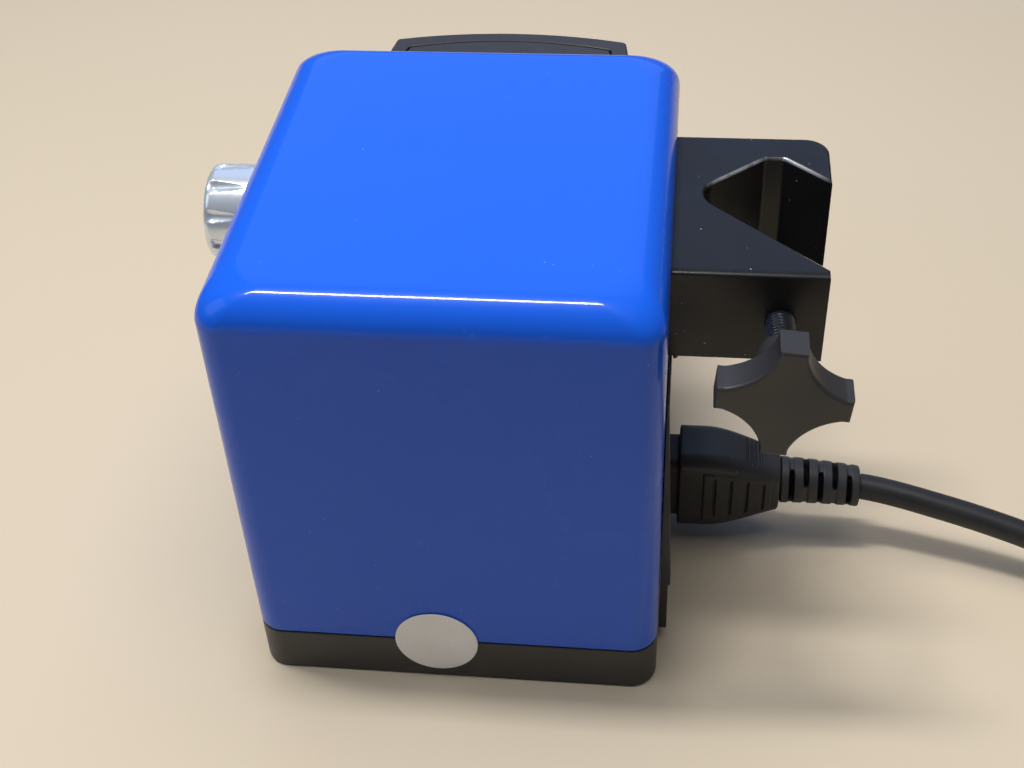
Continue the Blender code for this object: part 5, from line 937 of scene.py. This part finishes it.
def build_mains_plug():
    """The far plug: rounded sections along Y from a neck to a square body with finger grips."""
    low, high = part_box("mains_plug")
    centre_x = (low.x + high.x) / 2
    centre_z = (low.z + high.z) / 2
    reach = high.y - low.y
    draw, rise = quarter(4)
    edge = 1.5 * MM
    along = np.concatenate((edge * draw, np.linspace(edge, reach - edge, 90)[1:], reach - edge * (1.0 - rise)))
    pull = np.concatenate((edge * (1.0 - rise), np.zeros(89), edge * draw))
    swell = ease(along, 5.0 * MM, 18.0 * MM)
    half_x = 6.5 * MM + 6.5 * MM * swell
    half_z = 6.5 * MM + 5.5 * MM * swell
    loop = rounded_loop(8, 24)
    x, z = rounded_rings(loop, half_x - pull, half_z - pull, 4.0 * MM)
    grips = np.zeros_like(along)
    for number in range(4):
        start = (19.0 + 3.0 * number) * MM
        grips += window(along, start, start + 0.8 * MM, 0.4 * MM)
    x = x - np.sign(loop[:, 2]) * 0.6 * MM * grips[:, None] * ease(np.abs(loop[:, 2]), 0.9, 1.0)
    plug = skin("mains_plug_body", grid(centre_x + x, low.y + along[:, None], centre_z + z), finish("connector"))
    return dress(plug, "housing", "black_moulding", "mains_plug")


class MIXER_OT_cord(Operator):
    """Mains cord with its coil, strap, connector, strain relief and far plug."""
    bl_idname = "mixer.cord"
    bl_label = "Cord"

    def execute(self, context):
        refinish("brass", "mains_plug_pins")
        pieces = [build_connector(), build_boot(), build_tie(), build_mains_plug(), frame["nodes"]["mains_plug_pins"]]
        build_cord(sizes().cord_diameter)
        return {"FINISHED"}


# Case

def case_rings(profile, softening=0.45):
    """Rings of the case: its outline drawn in by each inset, with corners that grow rounder as it goes."""
    low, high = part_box("cover")
    inset, height = np.asarray(profile, float).T
    loop = rounded_loop(14)
    u, v = rounded_rings(loop, high.x - inset, high.y - inset, sizes().cover_corner + softening * inset)
    return grid(u, v, height[:, None])


def build_cover():
    """The painted shell: a profile of wall, brow and top carried round the case, outside and inside."""
    low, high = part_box("cover")
    wall = sizes().cover_wall
    brow = sizes().cover_brow
    lip = 0.5 * MM
    draw, rise = quarter(24)
    tight, lift = quarter(3)
    outside = np.column_stack((brow * draw, high.z - brow * (1.0 - rise)))[::-1]
    edge = np.column_stack((lip * (1.0 - lift[::-1]), low.z + lip * tight[::-1]))
    inside = np.column_stack((wall + (brow - wall) * draw, high.z - wall - (brow - wall) * (1.0 - rise)))
    rings = case_rings(np.vstack((outside, edge, ((wall, low.z),), inside)))
    cover = skin("painted_cover", rings, finish("paint"))
    right = high.x - 3 * wall
    far = high.y - 3 * wall
    through = 5 * wall
    knob = joint_point("speed_turn")
    holes = [rod_rings((low.x - 2 * wall, knob.y, knob.z), through, 4.8 * MM, "X")]
    for node_name, radius in (("clamp_bolt_1", 2.8), ("clamp_bolt_2", 2.8), ("panel_screw_1", 1.8), ("panel_screw_2", 1.8)):
        near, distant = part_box(node_name)
        holes.append(rod_rings((right, (near.y + distant.y) / 2, (near.z + distant.z) / 2), through, radius * MM, "X"))
    for node_name, radius in (*((f"head_bolt_{number}", 2.3) for number in range(1, 5)), ("lead_grommet", 6.3)):
        near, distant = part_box(node_name)
        holes.append(rod_rings(((near.x + distant.x) / 2, far, (near.z + distant.z) / 2), through, radius * MM, "Y"))
    panel_low, panel_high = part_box("rear_panel")
    margin = 10.0 * MM
    holes.append(box_rings((right, panel_low.y + margin, panel_low.z), (right + through, panel_high.y - margin, panel_high.z - margin)))
    dress(carve(cover, holes), "housing", "blue_paint", "cover")


class MIXER_OT_cover(Operator):
    """The painted cover."""
    bl_idname = "mixer.cover"
    bl_label = "Cover"

    def execute(self, context):
        build_cover()
        return {"FINISHED"}


def build_tray():
    """The black tray: recess for the sole, rounded skirt, lip inside the cover and floor, carried round the case."""
    low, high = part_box("base_tray")
    sole_low, sole_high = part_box("sole_pad")
    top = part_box("cover")[0].z - GAP
    draw, rise = quarter(4)
    foot = 0.8 * MM
    brim = 0.5 * MM
    recess = high.x - sole_high.x - GAP
    ceiling = sole_high.z + GAP
    lip = sizes().cover_wall + GAP
    inner = lip + 2.0 * MM
    bottom = np.column_stack((foot * (1.0 - rise), low.z + foot * draw))
    rim = np.column_stack((brim * draw, top - brim * (1.0 - rise)))
    profile = np.vstack((
        ((recess, ceiling), (recess, low.z)), bottom, rim,
        ((lip, top), (lip, high.z), (inner, high.z), (inner, ceiling + 3.0 * MM)),
    ))
    tray = skin("tray_skirt", case_rings(profile), finish("tray"))
    screws = [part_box(f"base_screw_{number}") for number in range(1, 5)]
    middles = [((near.x + far.x) / 2, (near.y + far.y) / 2) for near, far in screws]
    carve(tray, [rod_rings((x, y, ceiling + MM), high.z - ceiling - MM, 5.0 * MM, "Z") for x, y in middles], "UNION")
    inlet_low, inlet_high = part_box("inlet_socket")
    fit = 0.4 * MM
    holes = [rod_rings((x, y, low.z), high.z, 2.3 * MM, "Z") for x, y in middles]
    notch = box_rings((high.x - inner - 2.0 * MM, inlet_low.y - fit, inlet_low.z - fit),
                      (high.x + 2.0 * MM, inlet_high.y + fit, high.z + 3.0 * MM))
    carve(tray, holes + [notch])
    carve(tray, [rod_rings((x, y, low.z), ceiling + 3.0 * MM - low.z, 3.8 * MM, "Z") for x, y in middles])
    dress(tray, "housing", "black_moulding", "base_tray")


def build_seal():
    """The blank paper seal: a thin disc, pressed a little into the joint it crosses, with a lifted edge."""
    low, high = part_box("blank_seal")
    centre_x = (low.x + high.x) / 2
    centre_z = (low.z + high.z) / 2
    radius = (high.x - low.x) / 2
    share = np.concatenate((np.linspace(0.03, 0.97, 28), (1.0, 1.0, 0.03)))[:, None]
    turn = np.linspace(0.0, 2 * math.pi, 96, endpoint=False)[None, :]
    depth = np.concatenate((np.zeros(28), (0.3, 1.0, 1.0)))[:, None] * (high.y - low.y)
    x = radius * share * np.cos(turn)
    z = radius * share * np.sin(turn)
    groove = 0.10 * MM * np.exp(-(z / (0.5 * MM)) ** 2)
    wave = 0.03 * MM * np.sin(3.0 * turn) * share ** 3
    y = low.y + np.where(depth > 0.5 * (high.y - low.y), depth, depth + groove + np.abs(wave))
    seal = skin("paper_seal", grid(centre_x + x, y, centre_z + z), finish("paper"))
    dress(seal, "housing", "paper_seal", "blank_seal")


class MIXER_OT_base(Operator):
    """The tray with its sole and screws, and the blank seal."""
    bl_idname = "mixer.base"
    bl_label = "Base and seal"

    def execute(self, context):
        build_tray()
        build_seal()
        refinish("rubber", "sole_pad")
        refinish("steel", *(f"base_screw_{number}" for number in range(1, 5)))
        return {"FINISHED"}


# Clamp

def clamp_corners():
    """Corners of the clamp block's plan: a jaw, a notch with a seat for a rod, a lip and a round far corner."""
    low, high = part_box("clamp_block")
    x = low.x
    y = low.y
    seat_x, seat_y = NOTCH_SEAT
    return np.array([
        (x, y, 0.0),
        (x + JAW_REACH, y, 0.0),
        (x + JAW_REACH, y + JAW_TIP, 0.0),
        (x + NOTCH_APEX[0], y + NOTCH_APEX[1], NOTCH_APEX_RADIUS),
        (x + seat_x - NOTCH_SEAT_FLAT / 2, y + seat_y, 2.0 * MM),
        (x + seat_x + NOTCH_SEAT_FLAT / 2, y + seat_y, 2.0 * MM),
        (high.x, y + NOTCH_LIP, 0.0),
        (high.x, high.y, CLAMP_CORNER),
        (x, high.y, 0.0),
    ])


def build_clamp_block():
    """The clamp block: its plan raised in Z with rounded rims, broader on the jaw, and the screw's hole."""
    low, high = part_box("clamp_block")
    edge = sizes().clamp_edge
    share, height = rim_profile(edge, low.z, high.z, 6)
    rings = []
    for step, level in zip(share, height):
        corners = clamp_corners()
        corners[4:7, 1] -= CLAMP_DRAFT * (high.z - level) / (high.z - low.z)
        inset = np.full(len(corners), step)
        inset[2] *= 0.3
        plan = filleted(drawn_in(corners, inset), 8)
        near = plan[:, 1] < low.y + 1.5 * edge
        plan[near, 1] += (JAW_EDGE / edge - 1.0) * step
        plan[:, 0] = np.where(plan[:, 0] < low.x + 1.01 * edge, low.x - GAP, plan[:, 0])
        rings.append(np.column_stack((plan, np.full(len(plan), level))))
    block = skin("clamp_casting", np.stack(rings), finish("casting"))
    screw = joint_point("screw_turn")
    bores = [rod_rings((screw.x, low.y - 5.0 * MM, screw.z), 41.0 * MM, 4.25 * MM, "Y")]
    for number in (1, 2):
        near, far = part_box(f"clamp_bolt_{number}")
        reach = far.x + 2 * GAP - low.x
        bores.append(rod_rings((low.x - GAP, (near.y + far.y) / 2, (near.z + far.z) / 2), reach, 2.8 * MM, "X"))
    carve(block, bores)
    spot = points_of(block)
    rim = window(spot[:, 2], high.z - 0.8 * edge, high.z - 0.15 * edge, 0.15 * edge)
    notch = rim * window(spot[:, 1], low.y + 43.0 * MM, low.y + 60.0 * MM, 1.0 * MM)
    seat = low.x + NOTCH_SEAT[0]
    # This mark is partly rubbed paint and partly a painted highlight on the notch rim.
    mark(block, "rub_and_highlight", notch * window(spot[:, 0], low.x + 9.0 * MM, seat - NOTCH_SEAT_FLAT / 2, 1.0 * MM))
    mark(block, "bare", notch * window(spot[:, 0], seat + NOTCH_SEAT_FLAT / 2, high.x - 1.5 * MM, 1.0 * MM))
    dress(block, "housing", "black_metal", "clamp_block")


def build_clamp_screw():
    """The threaded clamp screw: its radius falls from the crest to the root in a helix along Y."""
    low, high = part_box("clamp_screw")
    axis = joint_point("screw_turn")
    outer = 4.0 * MM
    tip = 2.5 * MM
    pitch = sizes().thread_pitch
    shoulder = axis.y - GAP
    steps = round((shoulder - low.y) / pitch * 10)
    along = np.linspace(low.y, shoulder - 0.4 * MM, steps)[:, None]
    turn = np.linspace(0.0, 2 * math.pi, 48, endpoint=False)[None, :]
    phase = (along / pitch + turn / (2 * math.pi)) % 1.0
    tooth = np.clip(np.abs(2.0 * phase - 1.0) * 1.3 - 0.15, 0.0, 1.0)
    radius = outer - sizes().thread_depth * (1.0 - tooth)
    ends = np.array([[shoulder, tip + 0.3 * MM], [shoulder, tip], [high.y - 0.3 * MM, tip], [high.y, tip - 0.3 * MM]])
    radius = np.vstack((radius, np.repeat(ends[:, 1:], turn.shape[1], axis=1)))
    along = np.vstack((along, ends[:, :1]))
    screw = skin("threaded_screw", grid(axis.x + radius * np.cos(turn), along, axis.z + radius * np.sin(turn)), finish("dark_steel"))
    dress(screw, "clamp_handle", "steel", "clamp_screw")


def star_ring(inset):
    """The star's radius and angle, drawn in: lobe end, lobe side, then the hollow arc to the next lobe.

    Drawn in, an end and a side come nearer to the axis and the hollow arc grows round its own centre.
    """
    half = STAR_LOBE_WIDTH / 2
    root = np.array([STAR_LOBE_ROOT, half])
    reach = (root @ root - STAR_WAIST ** 2) / (math.sqrt(2) * root.sum() - 2 * STAR_WAIST)
    hollow = reach - STAR_WAIST + inset
    half -= inset
    end = STAR_RADIUS - inset
    middle = reach / math.sqrt(2)
    neck_reach = middle - math.sqrt(hollow ** 2 - (middle - half) ** 2)
    corner = math.atan2(half, end)
    neck = math.atan2(half, max(neck_reach, STAR_LOBE_ROOT * 0.5))
    swing = np.concatenate((
        np.linspace(0.0, corner, 6)[:-1], np.linspace(corner, neck, 6)[:-1], np.linspace(neck, math.pi / 4, 20),
    ))
    beside = reach * np.cos(math.pi / 4 - swing)
    arc = beside - np.sqrt(np.maximum(beside ** 2 - reach ** 2 + hollow ** 2, 0.0))
    side = half / np.sin(np.maximum(swing, 1e-6))
    radius = np.where(swing <= corner + 1e-9, end / np.cos(swing), np.where(swing <= neck + 1e-9, side, arc))
    swing = np.concatenate((swing, math.pi / 2 - swing[-2:0:-1]))
    radius = np.concatenate((radius, radius[-2:0:-1]))
    turn = np.concatenate([swing + lobe * math.pi / 2 for lobe in range(4)])
    return np.tile(radius, 4), turn - STAR_TURN


def build_star():
    """The star grip: its outline carried along Y with rounded edges, then drawn to a round hub and its bore."""
    low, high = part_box("star_knob")
    axis = joint_point("screw_turn")
    back = low.y + STAR_THICKNESS
    inset, along = rim_profile(sizes().star_edge, low.y, back, 5)
    rings = [(*star_ring(step), level) for step, level in zip(inset, along)]
    turn = star_ring(0.0)[1]
    wide, narrow = STAR_HUB
    edge = 0.6 * MM
    hub = (
        (wide + 0.9 * MM, back), (wide + 0.3 * MM, back + 0.3 * MM), (wide, back + 0.9 * MM),
        (narrow + edge * 0.4, high.y - edge), (narrow - edge * 0.3, high.y - 0.2 * edge), (narrow - edge, high.y),
        (4.3 * MM, high.y), (4.3 * MM, high.y - 15.0 * MM),
    )
    rings += [(np.full(len(turn), reach), turn, level) for reach, level in hub]
    points = [grid(axis.x + reach * np.cos(swing), level, axis.z + reach * np.sin(swing)) for reach, swing, level in rings]
    star = skin("star_grip", np.stack(points), finish("grip"))
    dress(star, "clamp_handle", "black_moulding", "star_knob")


def build_pad():
    """The pressure pad on the screw's tip: a turned disc with rounded rims and a socket behind."""
    low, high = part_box("pressure_pad")
    axis = joint_point("screw_turn")
    radius = (high.x - low.x) / 2
    edge = 0.6 * MM
    draw, rise = quarter(4)
    front = np.column_stack((radius - edge * draw, high.y - edge * (1.0 - rise)))[::-1]
    profile = np.vstack((front, ((radius, low.y), (2.8 * MM, low.y), (2.8 * MM, low.y + 2.3 * MM))))
    u, v, along = turned_rings(profile, 48)
    pad = skin("pressure_disc", grid(axis.x + u, along, axis.z + v), finish("panel"))
    dress(pad, "clamp_pad", "black_moulding", "pressure_pad")


class MIXER_OT_clamp(Operator):
    """The stand clamp: block, threaded screw, star grip, pad and hidden bolts."""
    bl_idname = "mixer.clamp"
    bl_label = "Stand clamp"

    def execute(self, context):
        build_clamp_block()
        build_clamp_screw()
        build_star()
        build_pad()
        refinish("steel", "clamp_bolt_1", "clamp_bolt_2")
        return {"FINISHED"}


# Speed control

def build_knob():
    """The speed knob: a turned body with leaf shaped flutes pressed in from its front edge.

    A flute's half width shrinks with the square root of what is left of its length and its depth in
    proportion to it. Across it the dip is a parabola, and it opens smoothly behind the front edge.
    """
    low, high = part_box("speed_knob")
    axis = joint_point("speed_turn")
    radius = 14.6 * MM
    edge = sizes().knob_edge
    reach = high.x - low.x
    draw, rise = quarter(10)
    body = np.linspace(edge, reach - 0.4 * MM, 60)[1:]
    along = np.concatenate(((0.0,), edge * draw, body, (reach,)))
    outer = np.concatenate((
        (radius - 2.2 * edge,), radius - edge * (1.0 - rise), np.full(len(body), radius), (radius - 0.4 * MM,),
    ))
    flutes = sizes().knob_flutes
    turn = np.linspace(0.0, 2 * math.pi, flutes * 28, endpoint=False)[None, :]
    pitch = 2 * math.pi / flutes
    off = (turn + pitch / 2) % pitch - pitch / 2
    left = np.clip(1.0 - along / sizes().flute_length, 0.0, 1.0)[:, None]
    width = math.radians(9.0) * np.sqrt(left) + 1e-6
    opening = ease(along, 0.15 * edge, 1.4 * edge)[:, None]
    dip = sizes().flute_depth * opening * left * np.clip(1.0 - (off / width) ** 2, 0.0, 1.0)
    rings_radius = outer[:, None] - dip
    back = np.array([(9.0, 0.0), (9.0, 4.5), (3.3, 4.5), (3.3, 11.0)]) * MM
    rings_radius = np.vstack((rings_radius, np.repeat(back[:, :1], turn.shape[1], axis=1)))
    x = low.x + np.concatenate((along, reach - back[:, 1]))
    swing = turn + math.radians(7.5)
    points = grid(x[:, None], axis.y + rings_radius * np.cos(swing), axis.z + rings_radius * np.sin(swing))
    knob = skin("fluted_knob", points, finish("aluminium"))
    grub_low, grub_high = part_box("knob_grub_screw")
    carve(knob, [rod_rings(((grub_low.x + grub_high.x) / 2, axis.y, axis.z - radius - MM), radius, 1.8 * MM, "Z")])
    dress(knob, "speed_control", "satin_aluminium", "speed_knob")


class MIXER_OT_speed(Operator):
    """The fluted speed knob and its control behind the wall."""
    bl_idname = "mixer.speed"
    bl_label = "Speed control"

    def execute(self, context):
        build_knob()
        refinish("steel", "knob_grub_screw", "speed_shaft", "potentiometer", "potentiometer_nut")
        return {"FINISHED"}


# Rear panel

def ease_edges(width, *nodes):
    """Round the sharp edges of flat sided solids that stay in sight."""
    for label in nodes:
        solid = frame["nodes"][label]
        weld = solid.modifiers.new("weld", "WELD")
        weld.merge_threshold = WELD
        bevel = solid.modifiers.new("edges", "BEVEL")
        bevel.width = width
        bevel.segments = 3
        bevel.limit_method = "ANGLE"
        bevel.angle_limit = math.radians(40.0)


def build_fuse_holder():
    """The fuse holder: a turned flange and barrel, open at the front."""
    low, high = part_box("fuse_holder")
    y = (low.y + high.y) / 2
    z = (low.z + high.z) / 2
    rim = 0.5 * MM
    profile = np.array([
        (4.2 * MM, low.x + 3.2 * MM), (4.2 * MM, high.x - rim), (4.2 * MM + rim, high.x), (8.0 * MM - rim, high.x),
        (8.0 * MM, high.x - rim), (8.0 * MM, high.x - 1.6 * MM), (6.2 * MM, high.x - 1.6 * MM), (6.2 * MM, low.x),
    ])
    u, v, along = turned_rings(profile)
    holder = skin("fuse_barrel", grid(along, y + u, z + v), finish("panel"))
    dress(holder, "housing", "black_moulding", "fuse_holder")


def build_fuse_cap():
    """The fuse cap: a turned knob with a rounded rim, a screwdriver slot and a hollow stem."""
    low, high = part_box("fuse_cap")
    y = (low.y + high.y) / 2
    z = (low.z + high.z) / 2
    flange = high.x - 4.5 * MM
    draw, rise = quarter(5)
    rim = 1.2 * MM
    front = np.column_stack((6.0 * MM - rim * draw, high.x - rim * (1.0 - rise)))[::-1]
    stem = np.array([(6.0, 0.0), (3.8, 0.0), (3.8, -4.5), (2.9, -4.5), (2.9, -1.2)]) * MM
    stem[:, 1] += flange
    u, v, along = turned_rings(np.vstack((front, stem)))
    cap = skin("fuse_knob", grid(along, y + u, z + v), finish("panel"))
    slot = 0.6 * MM
    carve(cap, [box_rings((high.x - 1.2 * MM, y - 7.0 * MM, z - slot), (high.x + 1.0 * MM, y + 7.0 * MM, z + slot))])
    dress(cap, "fuse_carrier", "black_moulding", "fuse_cap")


def build_panel_screw(number):
    """A countersunk screw: a flat head with a cross pressed into it, a cone and a shank, turned about X."""
    low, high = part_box(f"panel_screw_{number}")
    y = (low.y + high.y) / 2
    z = (low.z + high.z) / 2
    head = (high.y - low.y) / 2
    share = np.linspace(0.04, 1.0, 22)[:, None]
    turn = np.linspace(0.0, 2 * math.pi, 64, endpoint=False)[None, :]
    u = head * share * np.cos(turn)
    v = head * share * np.sin(turn)
    arm = 0.35 * MM
    cross = np.maximum(1.0 - ease(np.abs(u), arm, arm + 0.15 * MM), 1.0 - ease(np.abs(v), arm, arm + 0.15 * MM))
    depth = 0.9 * MM * cross * (1.0 - ease(head * share, 1.3 * MM, 1.6 * MM))
    below = np.array([(1.5 * MM, high.x - (head - 1.5 * MM)), (1.5 * MM, low.x)])
    u = np.vstack((u, below[:, :1] * np.cos(turn)))
    v = np.vstack((v, below[:, :1] * np.sin(turn)))
    x = np.vstack((high.x - depth, np.repeat(below[:, 1:], turn.shape[1], axis=1)))
    screw = skin(f"cross_screw_{number}", grid(x, y + u, z + v), finish("steel"))
    dress(screw, "housing", "steel", f"panel_screw_{number}")


class MIXER_OT_panel(Operator):
    """The rear panel with its inlet, switch, fuse and screws."""
    bl_idname = "mixer.panel"
    bl_label = "Rear panel"

    def execute(self, context):
        refinish("panel", "rear_panel", "inlet_socket", "switch_frame", "switch_rocker")
        refinish("steel", "inlet_pins")
        refinish("glass", "fuse_cartridge")
        ease_edges(sizes().moulding_edge, "switch_frame", "switch_rocker")
        ease_edges(sizes().moulding_edge / 2, "rear_panel")
        build_fuse_holder()
        build_fuse_cap()
        build_panel_screw(1)
        build_panel_screw(2)
        return {"FINISHED"}


# Head

def head_outline(inset, back_inset):
    """The head's plan drawn in: straight sides, rounded shoulders and a bowed end that is a parabola."""
    low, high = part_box("head_housing")
    root_y = low.y + back_inset
    end_y = high.y - HEAD_BOW - inset
    lean = (HEAD_ROOT_WIDTH - HEAD_END_WIDTH) / 2 / (high.y - HEAD_BOW - low.y)
    half_root = HEAD_ROOT_WIDTH / 2 - inset - lean * back_inset
    half_end = HEAD_ROOT_WIDTH / 2 - inset - lean * (end_y - low.y)
    share = np.linspace(1.0, -1.0, 33)[1:-1]
    bow = np.column_stack((half_end * share, end_y + HEAD_BOW * (1.0 - share ** 2)))
    shoulder = HEAD_CORNER
    corners = filleted(np.array([
        (-half_root, root_y, 0.4 * MM), (half_root, root_y, 0.4 * MM), (half_end, end_y, shoulder),
        (*bow[2], 0.01 * MM), (*bow[-3], 0.01 * MM), (-half_end, end_y, shoulder),
    ]), 8)
    split = 9
    outline = np.vstack((corners[:3 * split], bow[2:-2], corners[5 * split:]))
    return outline + np.array([HEAD_X, 0.0])


def build_head_shell():
    """The head's shell: outer wall with a rounded brim, a border, a ledge for the lid and a hollow inside."""
    low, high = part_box("head_housing")
    lid_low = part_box("head_top_panel")[0].z - GAP
    edge = 1.2 * MM
    inset, height = rim_profile(edge, low.z, high.z, 5)
    rings = [(step, step, level) for step, level in zip(inset, height)]
    inner = HEAD_BORDER + HEAD_LEDGE
    rings += [
        (HEAD_BORDER - 0.3 * MM, HEAD_BORDER - 0.3 * MM, high.z), (HEAD_BORDER, HEAD_BORDER, high.z - 0.3 * MM),
        (HEAD_BORDER, HEAD_BORDER, lid_low), (inner, inner, lid_low), (inner, inner, high.z - HEAD_RIM),
        (HEAD_WALL, HEAD_BACK, high.z - HEAD_RIM), (HEAD_WALL, HEAD_BACK, low.z + HEAD_WALL),
    ]
    points = []
    for sides, back, level in rings:
        outline = head_outline(sides, back)
        points.append(np.column_stack((outline, np.full(len(outline), level))))
    shell = skin("head_shell", np.stack(points), finish("head"))
    holes = []
    for number in range(1, 5):
        near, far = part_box(f"head_bolt_{number}")
        holes.append(rod_rings(((near.x + far.x) / 2, low.y - MM, (near.z + far.z) / 2), far.y + 2 * GAP - low.y + MM, 2.3 * MM, "Y"))
    near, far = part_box("lead_grommet")
    holes.append(rod_rings(((near.x + far.x) / 2, low.y - MM, (near.z + far.z) / 2), HEAD_BACK + 2 * MM, 6.3 * MM, "Y"))
    dress(carve(shell, holes), "housing", "black_moulding", "head_housing")


def build_head_lid():
    """The inset lid of the head: its plan with rounded rims, and the hole that the cup moves in."""
    low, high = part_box("head_top_panel")
    border = HEAD_BORDER + 0.6 * MM
    inset, height = rim_profile(0.5 * MM, low.z, high.z, 4)
    points = []
    for step, level in zip(inset, height):
        outline = head_outline(border + step, border + step)
        points.append(np.column_stack((outline, np.full(len(outline), level))))
    lid = skin("head_lid", np.stack(points), finish("head"))
    drive = joint_point("drive_spin")
    carve(lid, [rod_rings((drive.x, drive.y, low.z - MM), high.z - low.z + 2 * MM, 13.5 * MM, "Z", 64)])
    dress(lid, "housing", "black_moulding", "head_top_panel")


def build_cup():
    """The rubber mixing cup: a turned stem, a broad rounded rim and a funnel."""
    low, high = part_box("mixing_cup")
    axis = joint_point("cup_orbit")
    rim = 1.6 * MM
    turn = np.linspace(math.pi, -math.pi / 2, 18)
    bead = np.column_stack((17.0 * MM - rim + rim * np.cos(turn), high.z - rim + rim * np.sin(turn)))
    flange = high.z - 3.4 * MM
    floor = low.z + 5.8 * MM
    slope = np.linspace(0.0, 1.0, 16)[:, None]
    funnel = np.hstack((0.6 * MM + 13.2 * MM * np.sin(slope * math.pi / 2) ** 0.9, floor + (high.z - 1.2 * MM - floor) * slope ** 1.4))
    profile = np.vstack((funnel, bead[2:], ((10.6 * MM, flange), (10.0 * MM, flange - 0.6 * MM), (10.0 * MM, low.z),
                                            (3.8 * MM, low.z), (3.8 * MM, low.z + 3.3 * MM))))
    u, v, along = turned_rings(profile, 80)
    cup = skin("mixing_cup_rubber", grid(axis.x + u, axis.y + v, along), finish("rubber"))
    dress(cup, "orbiting_cup", "black_rubber", "mixing_cup")


class MIXER_OT_head(Operator):
    """The drive head with its lid, cup and hidden drive."""
    bl_idname = "mixer.head"
    bl_label = "Drive head"

    def execute(self, context):
        build_head_shell()
        build_head_lid()
        build_cup()
        refinish("steel", *(f"head_bolt_{number}" for number in range(1, 5)), "drive_motor", "motor_bracket",
                 "motor_screw_1", "motor_screw_2", "motor_shaft", "cup_bearing")
        refinish("brass", "eccentric_crank")
        refinish("panel", "cup_holder", "guide_fork")
        refinish("rubber", "lead_grommet")
        return {"FINISHED"}


class MIXER_OT_works(Operator):
    """The electrics inside the cover."""
    bl_idname = "mixer.works"
    bl_label = "Works"

    def execute(self, context):
        refinish("steel", "ballast_plate")
        refinish("laminations", "transformer_core")
        refinish("winding", "transformer_winding")
        refinish("board", "control_board")
        refinish("panel", "board_carrier", "smoothing_capacitor")
        refinish("aluminium", "heat_sink")
        return {"FINISHED"}


OPERATORS = (
    MIXER_OT_stage, MIXER_OT_cord, MIXER_OT_cover, MIXER_OT_base, MIXER_OT_clamp,
    MIXER_OT_speed, MIXER_OT_panel, MIXER_OT_head, MIXER_OT_works,
)
GROUPS = {"mixer_sizes": MixerSizes, "mixer_colours": MixerColours, "mixer_studio": MixerStudio}


class MIXER_PT_sidebar(Panel):
    """Lists the mixer's pieces and their sizes and colours."""
    bl_idname = "MIXER_PT_sidebar"
    bl_label = "Vortex mixer"
    bl_space_type = "VIEW_3D"
    bl_region_type = "UI"
    bl_category = "Mixer"

    def draw(self, context):
        for operator in OPERATORS:
            self.layout.operator(operator.bl_idname)
        for name, group in GROUPS.items():
            box = self.layout.box()
            for key in group.__annotations__:
                box.prop(getattr(context.scene, name), key)


CLASSES = (*GROUPS.values(), *OPERATORS, MIXER_PT_sidebar)


def register():
    """Register the classes and put the property groups on the scene."""
    for cls in CLASSES:
        bpy.utils.register_class(cls)
    for name, group in GROUPS.items():
        setattr(bpy.types.Scene, name, PointerProperty(type=group))


def unregister():
    """Take the property groups off the scene and unregister the classes."""
    for name in GROUPS:
        delattr(bpy.types.Scene, name)
    for cls in reversed(CLASSES):
        bpy.utils.unregister_class(cls)


def main():
    """Build every piece in order."""
    register()
    bpy.ops.mixer.stage()
    bpy.ops.mixer.cord()
    bpy.ops.mixer.cover()
    bpy.ops.mixer.base()
    bpy.ops.mixer.clamp()
    bpy.ops.mixer.speed()
    bpy.ops.mixer.panel()
    bpy.ops.mixer.head()
    bpy.ops.mixer.works()


if __name__ == "__main__":
    main()
